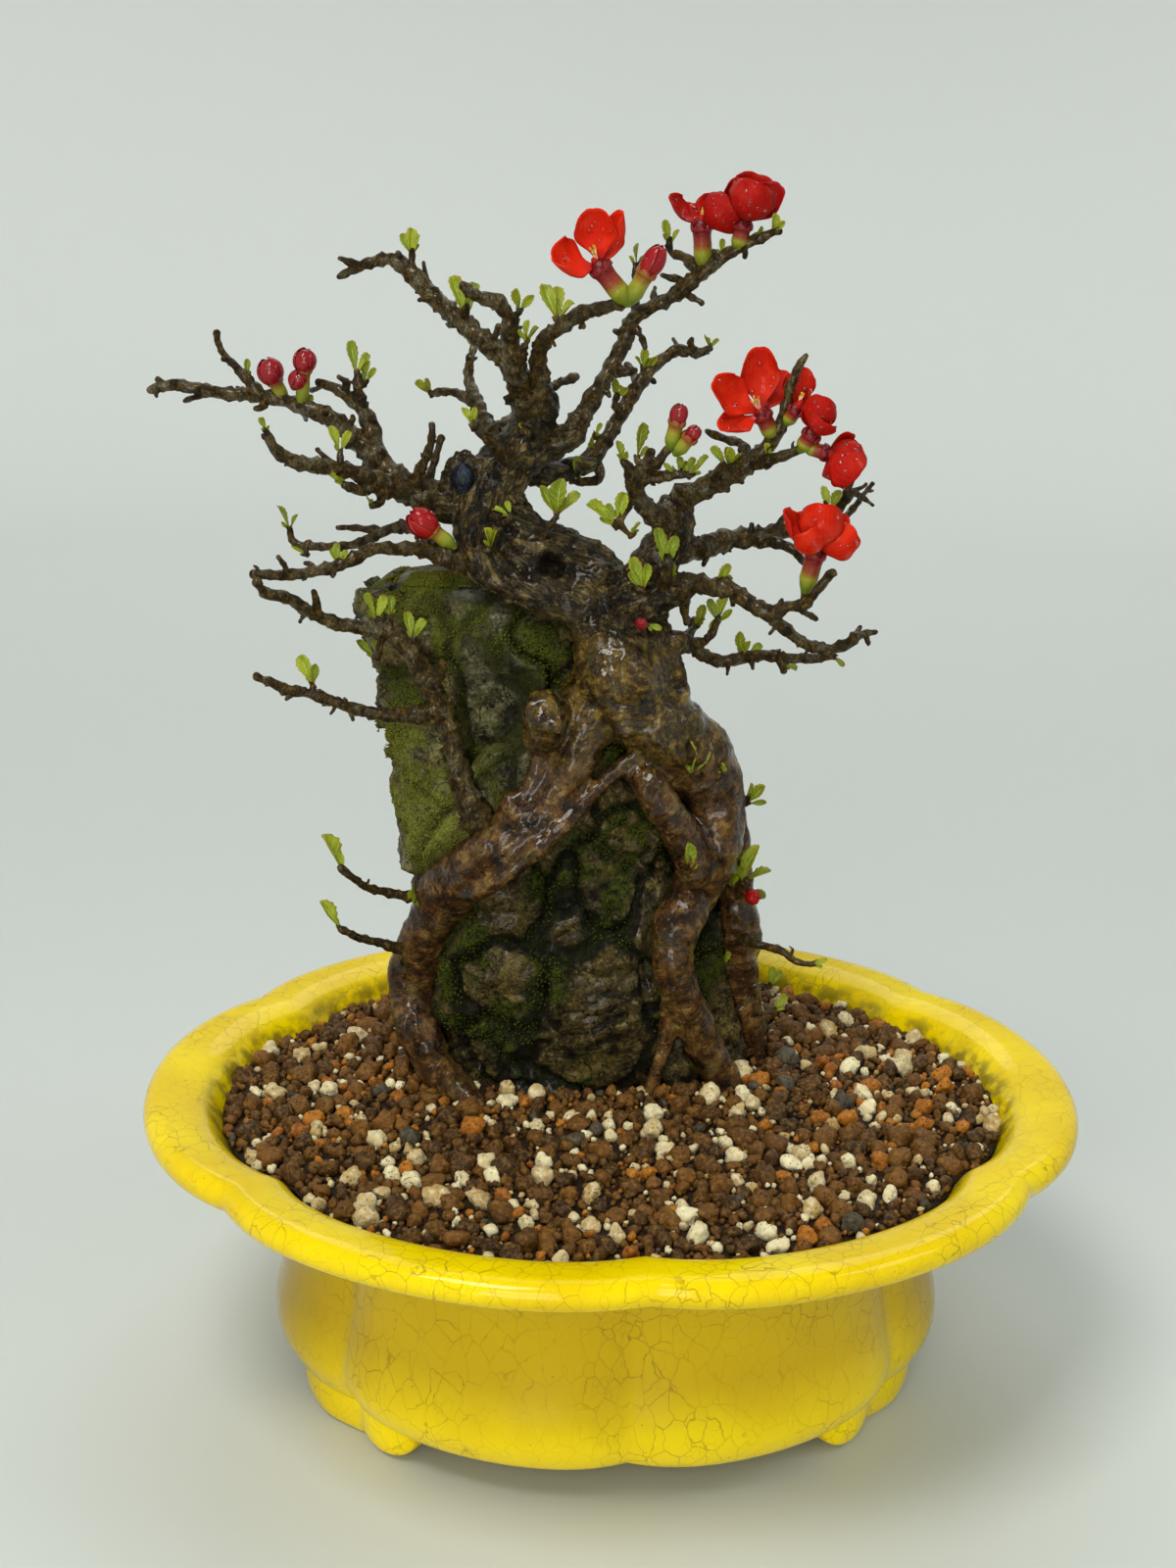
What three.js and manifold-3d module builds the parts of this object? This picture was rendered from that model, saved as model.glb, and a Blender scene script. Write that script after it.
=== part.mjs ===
// Chojubai, a dwarf flowering quince, trained as a bonsai with its roots over a rock, in a lobed oval pot.
// Millimetres, +Z up. The origin is on the ground under the middle of the pot, with X along its long side.
import * as THREE from "three";
import { mergeVertices } from "three/addons/utils/BufferGeometryUtils.js";
import Module from "manifold-3d";

const wasm = await Module();
wasm.setup();

// Driving dimensions
const halfLength = 100; // of the pot's rim, along X
const halfDepth = 88; // of the pot's rim, along Y
const potHeight = 68;
const footHeight = 7;
const clearance = 0.35; // between pieces that touch

// The pot's outline has six lobes: notches at the front and back, and four beside the ends.
const notch = { angles: [34, 90, 146, 214, 270, 326], depth: 3.6, width: 7.5 };
const pointsPerLobe = 7;

// The pot's section from under its base, out over the lip and down inside: inset from the rim, height
const potSection = [
  [35.5, 7], [30, 10], [26.8, 17], [28.6, 34], [27.6, 50], [13, 60.5], [3, 61], [0, 65], [2.5, 67.8],
  [9.5, 67.4], [13.2, 65.6], [15.5, 62.4], [30, 50], [33.5, 22], [37, 14],
];
const potFloor = 14;
const soilSection = [[37, 14], [33.5, 22], [30, 50], [16, 62.2]];
const soilRings = [0.91, 0.81, 0.71, 0.6, 0.46];
const soilRise = 3.2; // from the rim to the foot of the rock
const grainRelief = 1.1;

const foot = { from: 9, to: 50, inset: 35.5, halfWidth: 4.6, steps: 5 };
const drain = { radius: 8, x: 24, sides: 16 };
const screen = { side: 24, thickness: 0.9, holes: 3, bar: 2 };
const wire = { radius: 0.6, leg: 6.8, tail: 13 };

// Where the front view is taken from. Routes below are read off that view as pixels across and down,
// with a depth in mm behind the pot's middle, and sightline() gives the real place.
const view = {
  turn: THREE.MathUtils.degToRad(-4.5), // of the tree's front from the pot's
  pitch: THREE.MathUtils.degToRad(17.7),
  roll: THREE.MathUtils.degToRad(1.35),
  eye: new THREE.Vector3(-6.8, -424.5, 269.2),
  focal: 2218,
  centre: [600, 800],
};

// The rock, as rows of the front view: row, left edge, right edge, depth of its middle, half its depth
const rockRows = [
  [1105, 424, 764, 26, 26], [1050, 412, 766, 26, 28], [990, 410, 752, 25, 28], [940, 418, 740, 24, 26],
  [890, 432, 730, 23, 24], [840, 414, 720, 22, 23], [790, 400, 712, 22, 22], [740, 390, 694, 22, 21],
  [700, 380, 660, 23, 20], [660, 364, 622, 24, 19], [630, 358, 604, 24, 18], [605, 364, 588, 24, 15],
  [591, 388, 560, 24, 10],
];
const rockFoot = 48; // height of its underside, in the soil
const rockSides = 18;
const rockRoughness = 1.9;

// Roots that clasp the rock: across, down, radius and, where it isn't that of the rock's face, a depth
const roots = [
  [[606, 712, 7.6, 4], [590, 762, 5.4], [572, 800, 4.6], [552, 832, 4.5], [522, 854, 5], [490, 878, 5.4],
    [462, 906, 5.8], [441, 940, 5.6], [427, 975, 5.4], [421, 1010, 5.2], [427, 1050, 5, 5],
    [446, 1088, 4.4, 3], [480, 1124, 3.2, -5], [510, 1165, 2, -8]],
  [[560, 745, 3.6], [551, 775, 2.9], [545, 800, 2.6], [532, 822, 3.2], [512, 846, 3]],
  [[664, 762, 2.4, 2], [626, 789, 1.9], [596, 819, 1.8], [570, 847, 2], [541, 872, 2.3], [508, 898, 2.5],
    [474, 916, 2.7]],
  [[650, 712, 8, 4], [674, 740, 8, 4], [700, 764, 8.6, 8], [722, 796, 7.6, 9], [732, 830, 6.4, 8],
    [728, 866, 5.6, 6], [711, 904, 5.4], [692, 944, 5.2], [686, 978, 5], [698, 1018, 4.6], [714, 1056, 4.4],
    [734, 1090, 4, 5], [752, 1140, 2.4, 6]],
  [[652, 778, 3, 3], [672, 820, 4, 0], [692, 852, 4.3, 2], [712, 880, 4.6, 3]],
  [[681, 1010, 1.7], [680, 1056, 1.7], [672, 1086, 1.6], [658, 1136, 1.4, 0]],
  [[730, 796, 4, 14], [744, 850, 4.2, 17], [750, 905, 4.4, 18], [754, 960, 4.6, 18], [758, 1012, 4.4, 19],
    [764, 1060, 3.4, 20], [776, 1120, 2.2, 20]],
];
// Roots down the rock's far side, as it would be seen through it: across, down, radius
const backRoots = [
  [[642, 664, 7, 9], [654, 680, 6.6, 24], [654, 700, 6.2, 36], [646, 740, 5.8], [630, 800, 5.4],
    [610, 880, 5], [594, 980, 4.8], [582, 1052, 3.8]],
  [[652, 704, 5.6, 38], [616, 756, 5.2], [556, 806, 4.8], [500, 856, 4.4], [460, 930, 4.2], [440, 1046, 3.4]],
];
// The trunk and the thick limbs that its boughs spring from: across, down, depth, radius
const trunk = [
  [[640, 752, -1, 8], [634, 700, 2, 9.8], [627, 655, 7, 9], [620, 622, 11, 9], [596, 594, 13, 8],
    [562, 570, 14, 7], [530, 550, 15, 6.8], [506, 524, 16, 6.8], [502, 498, 17, 6.4], [518, 474, 17, 5.8],
    [536, 452, 17, 5], [545, 428, 17, 4.4], [545, 404, 15, 4.2]],
  [[656, 636, 8, 5], [670, 672, 7, 5], [674, 706, 6, 5.6], [672, 736, 5, 6]],
  [[488, 505, 14, 4.6], [487, 545, 12, 4.8], [500, 578, 10, 4.8], [530, 596, 9, 4.4], [576, 610, 8, 4.8],
    [626, 626, 8, 6]],
  [[640, 612, 9, 5.4], [660, 586, 9, 4.8], [680, 560, 10, 4.4], [690, 538, 10, 3.9]],
  [[640, 622, 7, 5.6], [672, 606, 7, 4.4], [697, 599, 6, 3.1]],
  [[640, 642, 7, 5.6], [668, 652, 7, 3.4], [690, 655, 6, 2.2]],
  [[488, 516, 15, 4], [462, 516, 15, 3.7], [446, 511, 15, 3.3]],
  [[536, 462, 17, 4], [566, 452, 18, 3], [590, 440, 18, 2.2]],
  [[520, 480, 20, 3.6], [566, 482, 24, 2.6], [604, 472, 28, 1.9]],
];
// Burls and old cuts: across, down, depth or null on the rock, radius
const burls = [
  [560, 735, null, 4.8], [526, 822, null, 3.6], [688, 534, 9, 4.4], [682, 694, 6, 3.8],
];
// Dark paste over two old cuts: across, down, depth, and half its width, depth and height
const seals = {
  wound_seal_left: [473, 488, 13, 2.4, 2.6, 4],
  wound_seal_top: [685, 518, 8, 3, 2.2, 1.6],
};

// Boughs. Each has stems (across, down, depth, radius), leaves (foot and tip in the view, blades) and
// calyxes of flowers and buds (foot and mouth in the view, radius of the mouth).
const boughs = {
  bough_high_left: {
    stems: [
      [[446, 511, 15, 3], [415, 497, 14, 2.8], [394, 480, 14, 2.6], [376, 460, 15, 2.3], [354, 440, 16, 2],
        [336, 426, 17, 1.8], [311, 416, 19, 1.6], [275, 405, 21, 1.4], [238, 402, 23, 1.25], [200, 396, 24, 1.2],
        [175, 393, 24, 1.1], [154, 398, 24, 0.9]],
      [[266, 404, 21, 1], [241, 375, 22, 0.8], [226, 358, 23, 0.7], [221, 340, 24, 0.6]],
      [[384, 470, 14, 1.8], [381, 444, 16, 1.6], [370, 418, 18, 1.4], [352, 402, 20, 1.2], [326, 390, 22, 0.9]],
      [[420, 500, 14, 1.2], [430, 478, 10, 1], [440, 450, 8, 0.8], [441, 434, 8, 0.7]],
      [[369, 417, 18, 1.1], [366, 400, 17, 1], [365, 382, 16, 0.8]],
    ],
    leaves: [
      [365, 386, 361, 350, 1], [366, 390, 381, 370, 1], [352, 440, 346, 414, 1], [252, 386, 252, 366, 1],
    ],
    calyxes: [[290, 408, 280, 388, 2.2], [308, 414, 310, 377, 2.1]],
  },
  bough_left_fork: {
    stems: [
      [[408, 496, 12, 2.2], [384, 490, 8, 1.8], [360, 481, 4, 1.5], [332, 476, 0, 1.4], [304, 472, -4, 1.3],
        [284, 462, -6, 1.1], [273, 445, -7, 0.8]],
      [[388, 492, 9, 1.3], [370, 499, 5, 1.2], [352, 495, 2, 0.9]],
      [[392, 494, 9, 1], [388, 512, 7, 0.9], [380, 516, 5, 0.7]],
    ],
    leaves: [[356, 496, 330, 482, 1], [372, 499, 370, 482, 1], [276, 450, 268, 432, 1]],
    calyxes: [],
  },
  bough_middle_left: {
    stems: [
      [[492, 566, 10, 2.6], [462, 571, 6, 2], [434, 562, 3, 1.5], [406, 560, 0, 1.3], [382, 560, -2, 1.25],
        [363, 569, -4, 1.2], [342, 578, -6, 1.1], [318, 584, -8, 1], [293, 587, -10, 1], [259, 586, -12, 0.9]],
      [[454, 567, 5, 1.7], [440, 548, 14, 1.5], [420, 537, 24, 1.3], [394, 541, 28, 1.1], [370, 553, 30, 1],
        [340, 558, 32, 0.9], [300, 553, 34, 0.8], [296, 540, 34, 0.7]],
    ],
    leaves: [[296, 542, 290, 514, 1], [334, 579, 347, 556, 1]],
    calyxes: [[462, 557, 441, 541, 2.4]],
  },
  bough_rock_left: {
    stems: [
      [[489, 838, 1, 2.6], [474, 806, 1, 2.3], [466, 776, 1, 2.2], [459, 745, 1, 2.2], [450, 720, 1, 2.2],
        [434, 692, 2, 2.1], [420, 668, 2, 1.9], [405, 650, 1, 1.7], [379, 642, -1, 1.5], [350, 638, -3, 1.4],
        [328, 630, -5, 1.3], [311, 621, -7, 1.2], [293, 610, -9, 1.1], [272, 606, -11, 1], [262, 594, -14, 0.8]],
      [[452, 724, 1, 1.9], [432, 729, -1, 1.7], [400, 730, -4, 1.4], [370, 725, -7, 1.2], [340, 716, -10, 1.1],
        [318, 708, -12, 1], [290, 703, -13, 1], [262, 690, -15, 0.8]],
      [[324, 628, -6, 0.8], [322, 614, -6, 0.7], [320, 604, -7, 0.6]],
      [[436, 700, 1, 1.2], [448, 690, -3, 1], [452, 676, -5, 0.8]],
    ],
    leaves: [
      [382, 642, 376, 608, 2], [400, 646, 404, 612, 1], [386, 644, 374, 666, 1],
      [318, 706, 312, 672, 1],
    ],
    calyxes: [],
  },
  bough_crown_left: {
    stems: [
      [[543, 412, 18, 3], [536, 394, 19, 2.6], [526, 380, 18, 2.4], [514, 364, 19, 2.2], [494, 349, 20, 2],
        [468, 326, 23, 1.8], [446, 306, 25, 1.7], [428, 288, 27, 1.7], [414, 272, 28, 1.6], [396, 265, 29, 1.2],
        [370, 271, 30, 1], [347, 282, 31, 0.8]],
      [[420, 280, 28, 0.9], [420, 266, 27, 0.8], [421, 256, 27, 0.7]],
      [[468, 328, 23, 1], [474, 318, 20, 0.8], [476, 312, 19, 0.7]],
    ],
    leaves: [
      [421, 262, 410, 236, 1], [421, 262, 428, 234, 1], [476, 318, 467, 286, 1],
    ],
    calyxes: [],
  },
  bough_crown_front: {
    stems: [
      [[538, 412, 13, 2.4], [526, 378, 9, 2], [521, 350, 7, 1.8], [520, 326, 5, 1.6], [508, 308, 3, 1.5],
        [488, 302, 2, 1.2], [473, 292, 1, 0.9]],
      [[524, 372, 9, 1.3], [532, 360, 5, 1], [535, 354, 3, 0.8]],
    ],
    leaves: [
      [521, 326, 532, 297, 2], [534, 358, 529, 334, 1], [534, 358, 544, 334, 1],
    ],
    calyxes: [],
  },
  bough_twin_flower: {
    stems: [
      [[549, 412, 14, 2.4], [551, 384, 9, 2], [549, 362, 6, 1.8], [557, 345, 4, 1.7], [572, 334, 2, 1.6],
        [590, 321, 0, 1.6], [610, 316, -2, 1.5], [628, 311, -4, 1.3], [641, 308, -5, 1.1]],
    ],
    leaves: [[570, 334, 558, 292, 1], [570, 334, 578, 294, 1]],
    calyxes: [[640, 308, 613, 274, 3], [642, 308, 660, 278, 2.6]],
  },
  bough_top_right: {
    stems: [
      [[584, 442, 18, 2.2], [600, 414, 20, 2], [621, 381, 22, 1.9], [633, 358, 23, 1.8], [640, 338, 23, 1.8],
        [650, 322, 22, 1.7], [668, 312, 21, 1.6], [693, 298, 20, 1.6], [710, 284, 19, 1.6], [728, 269, 18, 1.5],
        [756, 252, 17, 1.3], [778, 241, 16, 1.1], [794, 236, 15, 0.8]],
      [[714, 280, 19, 1.2], [698, 262, 22, 1], [684, 258, 24, 0.8], [683, 244, 24, 0.7]],
      [[644, 330, 22, 0.8], [655, 345, 18, 0.7], [658, 355, 16, 0.6]],
      [[626, 374, 22, 1.2], [638, 381, 18, 1], [648, 378, 15, 0.8]],
      [[648, 324, 22, 0.9], [648, 300, 26, 0.8], [648, 272, 28, 0.7]],
    ],
    leaves: [
      [649, 276, 650, 250, 1], [684, 250, 684, 226, 2], [788, 238, 795, 220, 1],
      [650, 380, 668, 362, 1],
    ],
    calyxes: [[718, 272, 716, 232, 2.8], [753, 254, 758, 230, 2.6]],
  },
  bough_back_right: {
    stems: [
      [[598, 474, 28, 1.9], [612, 458, 30, 1.8], [630, 430, 33, 1.7], [646, 402, 36, 1.6], [660, 382, 38, 1.5],
        [676, 366, 39, 1.4], [694, 357, 40, 1.3], [712, 360, 41, 1.1], [724, 356, 41, 0.9]],
      [[634, 424, 33, 1], [628, 412, 31, 0.8], [630, 402, 30, 0.7]],
      [[606, 466, 29, 1.1], [612, 488, 27, 1], [590, 492, 26, 0.8]],
      [[650, 398, 37, 1], [648, 384, 46, 0.9], [640, 372, 52, 0.7]],
    ],
    leaves: [[724, 356, 732, 348, 1], [630, 404, 632, 384, 1], [590, 491, 588, 468, 1]],
    calyxes: [],
  },
  bough_bud_cluster: {
    stems: [
      [[684, 530, 6, 2.6], [664, 524, 2, 2.1], [652, 508, -1, 1.8], [648, 492, -3, 1.7], [656, 488, -5, 1.4],
        [676, 486, -7, 1.2], [688, 484, -9, 1]],
      [[648, 494, -3, 1.4], [642, 478, -5, 1.1], [637, 472, -6, 0.9]],
      [[652, 490, -4, 1.5], [660, 474, -7, 1.4], [664, 462, -8, 1.1]],
      [[658, 487, -5, 1], [674, 468, -9, 0.9], [684, 456, -10, 0.8]],
      [[650, 504, -1, 1], [638, 520, -3, 0.9], [632, 534, -4, 0.7]],
    ],
    leaves: [
      [650, 470, 654, 432, 1], [638, 474, 632, 452, 1], [632, 534, 610, 510, 1],
      [689, 484, 702, 462, 1], [689, 486, 716, 472, 1],
    ],
    calyxes: [[684, 456, 691, 430, 2.2], [690, 462, 704, 446, 2.2]],
  },
  bough_long_right: {
    stems: [
      [[692, 530, 10, 3], [696, 508, 9, 2.7], [716, 500, 7, 2.4], [738, 488, 5, 2.2], [760, 476, 3, 2],
        [776, 462, 1, 1.7], [792, 444, 0, 1.4], [801, 420, -1, 1.2], [806, 396, -2, 1], [814, 376, -3, 0.8],
        [822, 363, -3, 0.6]],
      [[772, 472, 2, 1.5], [792, 468, -1, 1.3], [808, 462, -4, 1.1], [820, 456, -6, 0.9]],
      [[762, 470, 3, 1.1], [757, 454, 6, 1], [740, 448, 9, 0.9], [722, 440, 11, 0.7]],
      [[728, 494, 6, 1], [732, 482, 2, 0.9], [738, 474, 0, 0.7]],
    ],
    leaves: [[738, 476, 731, 452, 1], [738, 476, 750, 458, 1]],
    calyxes: [[789, 446, 778, 424, 2.6], [802, 432, 812, 418, 2.2], [818, 458, 828, 444, 2.6],
      [822, 456, 842, 462, 2.2]],
  },
  bough_lower_right: {
    stems: [
      [[688, 556, 14, 3], [712, 560, 17, 2.4], [736, 552, 20, 2.4], [760, 549, 23, 2.3], [784, 545, 26, 1.9],
        [804, 541, 28, 1.6], [830, 534, 30, 1.3], [852, 522, 32, 1.2], [866, 508, 33, 1], [873, 500, 34, 0.8]],
      [[770, 550, 23, 1.5], [795, 555, 20, 1.2], [812, 564, 17, 1], [820, 574, 15, 0.8]],
      [[840, 530, 31, 1], [862, 527, 34, 0.9], [874, 514, 37, 0.8], [890, 494, 40, 0.6]],
      [[860, 512, 33, 0.8], [866, 498, 31, 0.7], [873, 484, 30, 0.6]],
    ],
    leaves: [[846, 524, 846, 498, 1]],
    calyxes: [],
  },
  bough_flower_right: {
    stems: [
      [[694, 600, 6, 2.6], [709, 595, 4, 2], [728, 599, 1, 1.9], [746, 602, -1, 1.9], [764, 616, -3, 1.8],
        [784, 626, -5, 1.7], [798, 638, -4, 1.3], [814, 652, -3, 1.2], [832, 661, -2, 1.2], [850, 662, 0, 1.2],
        [866, 655, 1, 1.3], [880, 647, 2, 1], [893, 645, 2, 0.7]],
      [[786, 627, -5, 1.4], [804, 619, -8, 1.2], [822, 616, -10, 1.1], [834, 602, -12, 1], [844, 590, -13, 0.9],
        [850, 584, -13, 0.8]],
      [[822, 614, -10, 0.9], [821, 606, -9, 0.9], [822, 600, -9, 1]],
    ],
    leaves: [[732, 599, 748, 582, 1], [858, 660, 876, 666, 1]],
    calyxes: [[822, 602, 832, 566, 2.8]],
  },
  bough_low_right: {
    stems: [
      [[686, 656, 7, 2], [706, 659, 10, 1.6], [720, 670, 13, 1.5], [738, 675, 15, 1.4], [760, 671, 17, 1.3],
        [784, 669, 19, 1.3], [808, 672, 21, 1.2], [834, 671, 23, 1.1], [848, 669, 24, 1]],
      [[704, 658, 10, 1.1], [722, 652, 8, 0.9], [729, 640, 7, 0.8], [733, 630, 6, 0.7]],
      [[794, 670, 20, 0.9], [797, 680, 18, 0.8], [800, 684, 18, 0.7]],
      [[700, 656, 9, 1], [706, 640, 14, 0.9], [708, 632, 16, 0.7]],
    ],
    leaves: [
      [732, 634, 739, 610, 2], [754, 672, 762, 648, 1], [846, 670, 860, 677, 1],
      [708, 634, 704, 614, 1],
    ],
    calyxes: [],
  },
  bough_rear: {
    stems: [
      [[530, 470, 22, 2.4], [520, 452, 32, 2], [500, 436, 42, 1.7], [486, 410, 50, 1.4], [478, 380, 56, 1.1],
        [484, 352, 60, 0.8]],
      [[508, 442, 38, 1.3], [530, 420, 46, 1.1], [560, 396, 52, 1], [588, 384, 58, 0.8]],
      [[486, 412, 50, 1], [462, 400, 54, 0.9], [440, 402, 58, 0.7]],
    ],
    leaves: [[484, 356, 480, 332, 1], [440, 403, 428, 388, 1]],
    calyxes: [],
  },
};

// Shoots that spring straight from the trunk and roots, fused into them: stems and leaves as above
const shoots = {
  stems: [
    [[440, 918, 5, 1.2], [404, 912, 2, 0.9], [376, 906, -2, 0.8], [358, 894, -5, 0.8], [348, 886, -6, 0.7]],
    [[416, 970, 8, 1.1], [390, 963, 4, 0.9], [366, 957, 1, 0.8], [348, 948, -1, 0.7]],
    [[752, 956, 16, 1.4], [768, 962, 11, 1], [796, 970, 9, 0.9], [816, 982, 8, 0.8], [828, 984, 8, 0.7]],
    [[740, 816, 16, 1.2], [754, 815, 15, 1], [762, 816, 14, 0.8]],
    [[748, 918, 17, 1.6], [758, 906, 13, 1.1], [762, 898, 12, 0.9]],
    [[520, 470, 12, 1.3], [508, 456, 8, 1.1], [494, 444, 5, 0.8], [484, 431, 4, 0.6]],
    [[675, 602, 6, 1.5], [681, 582, 1, 1], [681, 568, 0, 0.9]],
  ],
  leaves: [
    [348, 887, 332, 860, 1], [349, 948, 328, 922, 1], [828, 984, 844, 983, 1], [762, 816, 786, 806, 1],
    [762, 898, 746, 876, 1], [762, 898, 775, 870, 1], [485, 432, 478, 413, 1], [568, 524, 571, 490, 1],
    [514, 534, 508, 516, 1], [654, 598, 646, 572, 1], [681, 570, 682, 544, 1],
    [712, 786, 708, 758, 1], [702, 890, 705, 866, 1],
  ],
};

// Flowers and buds: mouth of the calyx in the view, depth, radius of the bloom, how far it has opened
const blooms = {
  bloom_upper_left: { calyx: ["bough_twin_flower", 0], radius: 9.5, open: 62, turn: 20, lean: [-0.4, -0.3, 0.86] },
  bloom_top: { calyx: ["bough_top_right", 0], radius: 7.4, open: 64, turn: 50, lean: [-0.3, -0.5, 0.8] },
  bloom_top_right: { calyx: ["bough_top_right", 1], radius: 8, open: 30, turn: 10, lean: [0.4, 0.4, 0.82] },
  bloom_right_open: { calyx: ["bough_long_right", 0], radius: 9.5, open: 74, turn: 0, lean: [-0.2, -0.8, 0.3] },
  bloom_right_behind: { calyx: ["bough_long_right", 1], radius: 6, open: 36, turn: 30, lean: [0.5, 0.6, 0.6] },
  bloom_right_half: { calyx: ["bough_long_right", 2], radius: 6.5, open: 24, turn: 15, lean: [0.2, -0.3, 0.9] },
  bloom_right_far: { calyx: ["bough_long_right", 3], radius: 7.5, open: 36, turn: 40, lean: [0.85, -0.3, -0.1] },
  bloom_lower_right: { calyx: ["bough_flower_right", 0], radius: 9.5, open: 52, turn: 35, lean: [0.1, -0.3, 0.95] },
};
const buds = {
  bud_left_1: ["bough_high_left", 0, 2.6],
  bud_left_2: ["bough_high_left", 1, 2.6],
  bud_middle: ["bough_middle_left", 0, 3.3],
  bud_twin: ["bough_twin_flower", 1, 3.3],
  bud_cluster_1: ["bough_bud_cluster", 0, 2.3],
  bud_cluster_2: ["bough_bud_cluster", 1, 2.2],
};

const colours = {
  glaze: { color: 0xe6c700, roughness: 0.25, metalness: 0 },
  soil: { color: 0x5b3a28, roughness: 0.95, metalness: 0 },
  rock: { color: 0x4a4a3c, roughness: 0.9, metalness: 0 },
  bark: { color: 0x4f3d2b, roughness: 0.7, metalness: 0 },
  petal: { color: 0xd4210f, roughness: 0.5, metalness: 0 },
  seal: { color: 0x151b26, roughness: 0.5, metalness: 0 },
  mesh: { color: 0x23282a, roughness: 0.6, metalness: 0 },
};

// Repeatable random numbers from 0 to 1
let seed = 7;
function random() {
  seed = (seed * 16807) % 2147483647;
  return seed / 2147483647;
}

// The real place seen at a pixel of the front view, at a depth behind the pot's middle
function sightline(across, down, depth) {
  const u = across - view.centre[0];
  const v = down - view.centre[1];
  const right = (u * Math.cos(view.roll) + v * Math.sin(view.roll)) / view.focal;
  const below = (v * Math.cos(view.roll) - u * Math.sin(view.roll)) / view.focal;
  const ray = new THREE.Vector3(
    right,
    Math.cos(view.pitch) - below * Math.sin(view.pitch),
    -Math.sin(view.pitch) - below * Math.cos(view.pitch),
  );
  return ray.multiplyScalar((depth - view.eye.y) / ray.y).add(view.eye);
}

const upright = new THREE.Vector3(0, 0, 1);

// Turn a point of the view's frame into the pot's, and back
const toPot = (point) => point.applyAxisAngle(upright, view.turn);
const fromPot = (point) => point.clone().applyAxisAngle(upright, -view.turn);

// A closed body through rings of points, all with the same count and turning the same way
function loft(rings) {
  const count = rings[0].length;
  const points = rings.flat();
  const faces = [];
  for (let r = 0; r + 1 < rings.length; r++)
    for (let i = 0; i < count; i++) {
      const a = r * count + i;
      const b = r * count + ((i + 1) % count);
      faces.push(a, b, b + count, a, b + count, a + count);
    }
  for (let i = 1; i + 1 < count; i++) {
    const last = (rings.length - 1) * count;
    faces.push(0, i + 1, i, last, last + i, last + i + 1);
  }
  return new THREE.BufferGeometry().setFromPoints(points).setIndex(faces);
}

function solid(geometry) {
  const bare = geometry.clone();
  bare.deleteAttribute("normal");
  bare.deleteAttribute("uv");
  const merged = mergeVertices(bare, 1e-4);
  const made = new wasm.Manifold(
    new wasm.Mesh({
      numProp: 3,
      vertProperties: new Float32Array(merged.attributes.position.array),
      triVerts: new Uint32Array(merged.index.array),
    }),
  );
  if (made.volume() >= 0) return made;
  const turned = merged.index.array;
  for (let i = 0; i < turned.length; i += 3) [turned[i + 1], turned[i + 2]] = [turned[i + 2], turned[i + 1]];
  return solid(merged);
}

const join = (solids) => solids.reduce((whole, piece) => whole.add(piece));
const largest = (whole) =>
  whole.decompose().reduce((best, piece) => (piece.volume() > best.volume() ? piece : best));

function mesh(name, whole, colour) {
  const { vertProperties, triVerts } = largest(whole).getMesh();
  const geometry = new THREE.BufferGeometry()
    .setAttribute("position", new THREE.BufferAttribute(vertProperties, 3))
    .setIndex(new THREE.BufferAttribute(triVerts, 1));
  geometry.computeVertexNormals();
  const made = new THREE.Mesh(geometry, new THREE.MeshStandardMaterial(colour));
  made.name = name;
  return made;
}

// One ring of the pot's outline, with its points gathered towards the notches
function outline(inset, height) {
  const ring = [];
  notch.angles.forEach((from, i) => {
    const to = i + 1 < notch.angles.length ? notch.angles[i + 1] : notch.angles[0] + 360;
    for (let k = 0; k < pointsPerLobe; k++) {
      const share = k / pointsPerLobe;
      const eased = share - (0.6 * Math.sin(2 * Math.PI * share)) / (2 * Math.PI);
      ring.push(outlinePoint(from + (to - from) * eased, inset, height));
    }
  });
  return ring;
}

function outlinePoint(degrees, inset, height) {
  const away = Math.min(...notch.angles.map((a) => Math.abs(((degrees - a + 540) % 360) - 180)));
  const dip = notch.depth * Math.exp(-((away / notch.width) ** 1.5));
  const angle = THREE.MathUtils.degToRad(degrees);
  return new THREE.Vector3(
    (halfLength - inset - dip) * Math.cos(angle),
    (halfDepth - inset - dip) * Math.sin(angle),
    height,
  );
}

// A foot follows the pot's outline, with a flat sole and rounded ends
function footSolid(startDegrees, sweep) {
  const sections = [];
  for (let k = 0; k <= foot.steps; k++) {
    const share = k / foot.steps;
    const half = foot.halfWidth * (0.45 + 0.55 * Math.sqrt(1 - (2 * share - 1) ** 4));
    const at = (inset, height) => outlinePoint(startDegrees + sweep * share, foot.inset + inset, height);
    sections.push([
      at(-half, 3.4), at(-half * 0.6, 0), at(half * 0.6, 0), at(half, 3), at(half, footHeight + 1),
      at(-half * 0.8, footHeight + 1),
    ]);
  }
  return solid(loft(sections));
}

function potSolid() {
  let body = solid(loft(potSection.map(([inset, height]) => outline(inset, height))));
  const span = foot.to - foot.from;
  for (const start of [foot.from, 180 + foot.from]) body = body.add(footSolid(start, span));
  for (const start of [180 - foot.from, 360 - foot.from]) body = body.add(footSolid(start, -span));
  for (const side of [-1, 1]) {
    const hole = new THREE.CylinderGeometry(drain.radius, drain.radius, 20, drain.sides);
    body = body.subtract(solid(hole.rotateX(Math.PI / 2).translate(side * drain.x, 0, 10)));
  }
  return body;
}

// A smooth random field, for relief on soil and rock
function ripple(x, y, z) {
  const wave = (a, b, c, phase) => Math.sin(a * x + b * y + c * z + phase);
  return (wave(0.21, 0.13, -0.17, 1) + wave(-0.12, 0.27, 0.11, 3) + wave(0.31, -0.19, 0.29, 5)) / 3;
}

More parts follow.
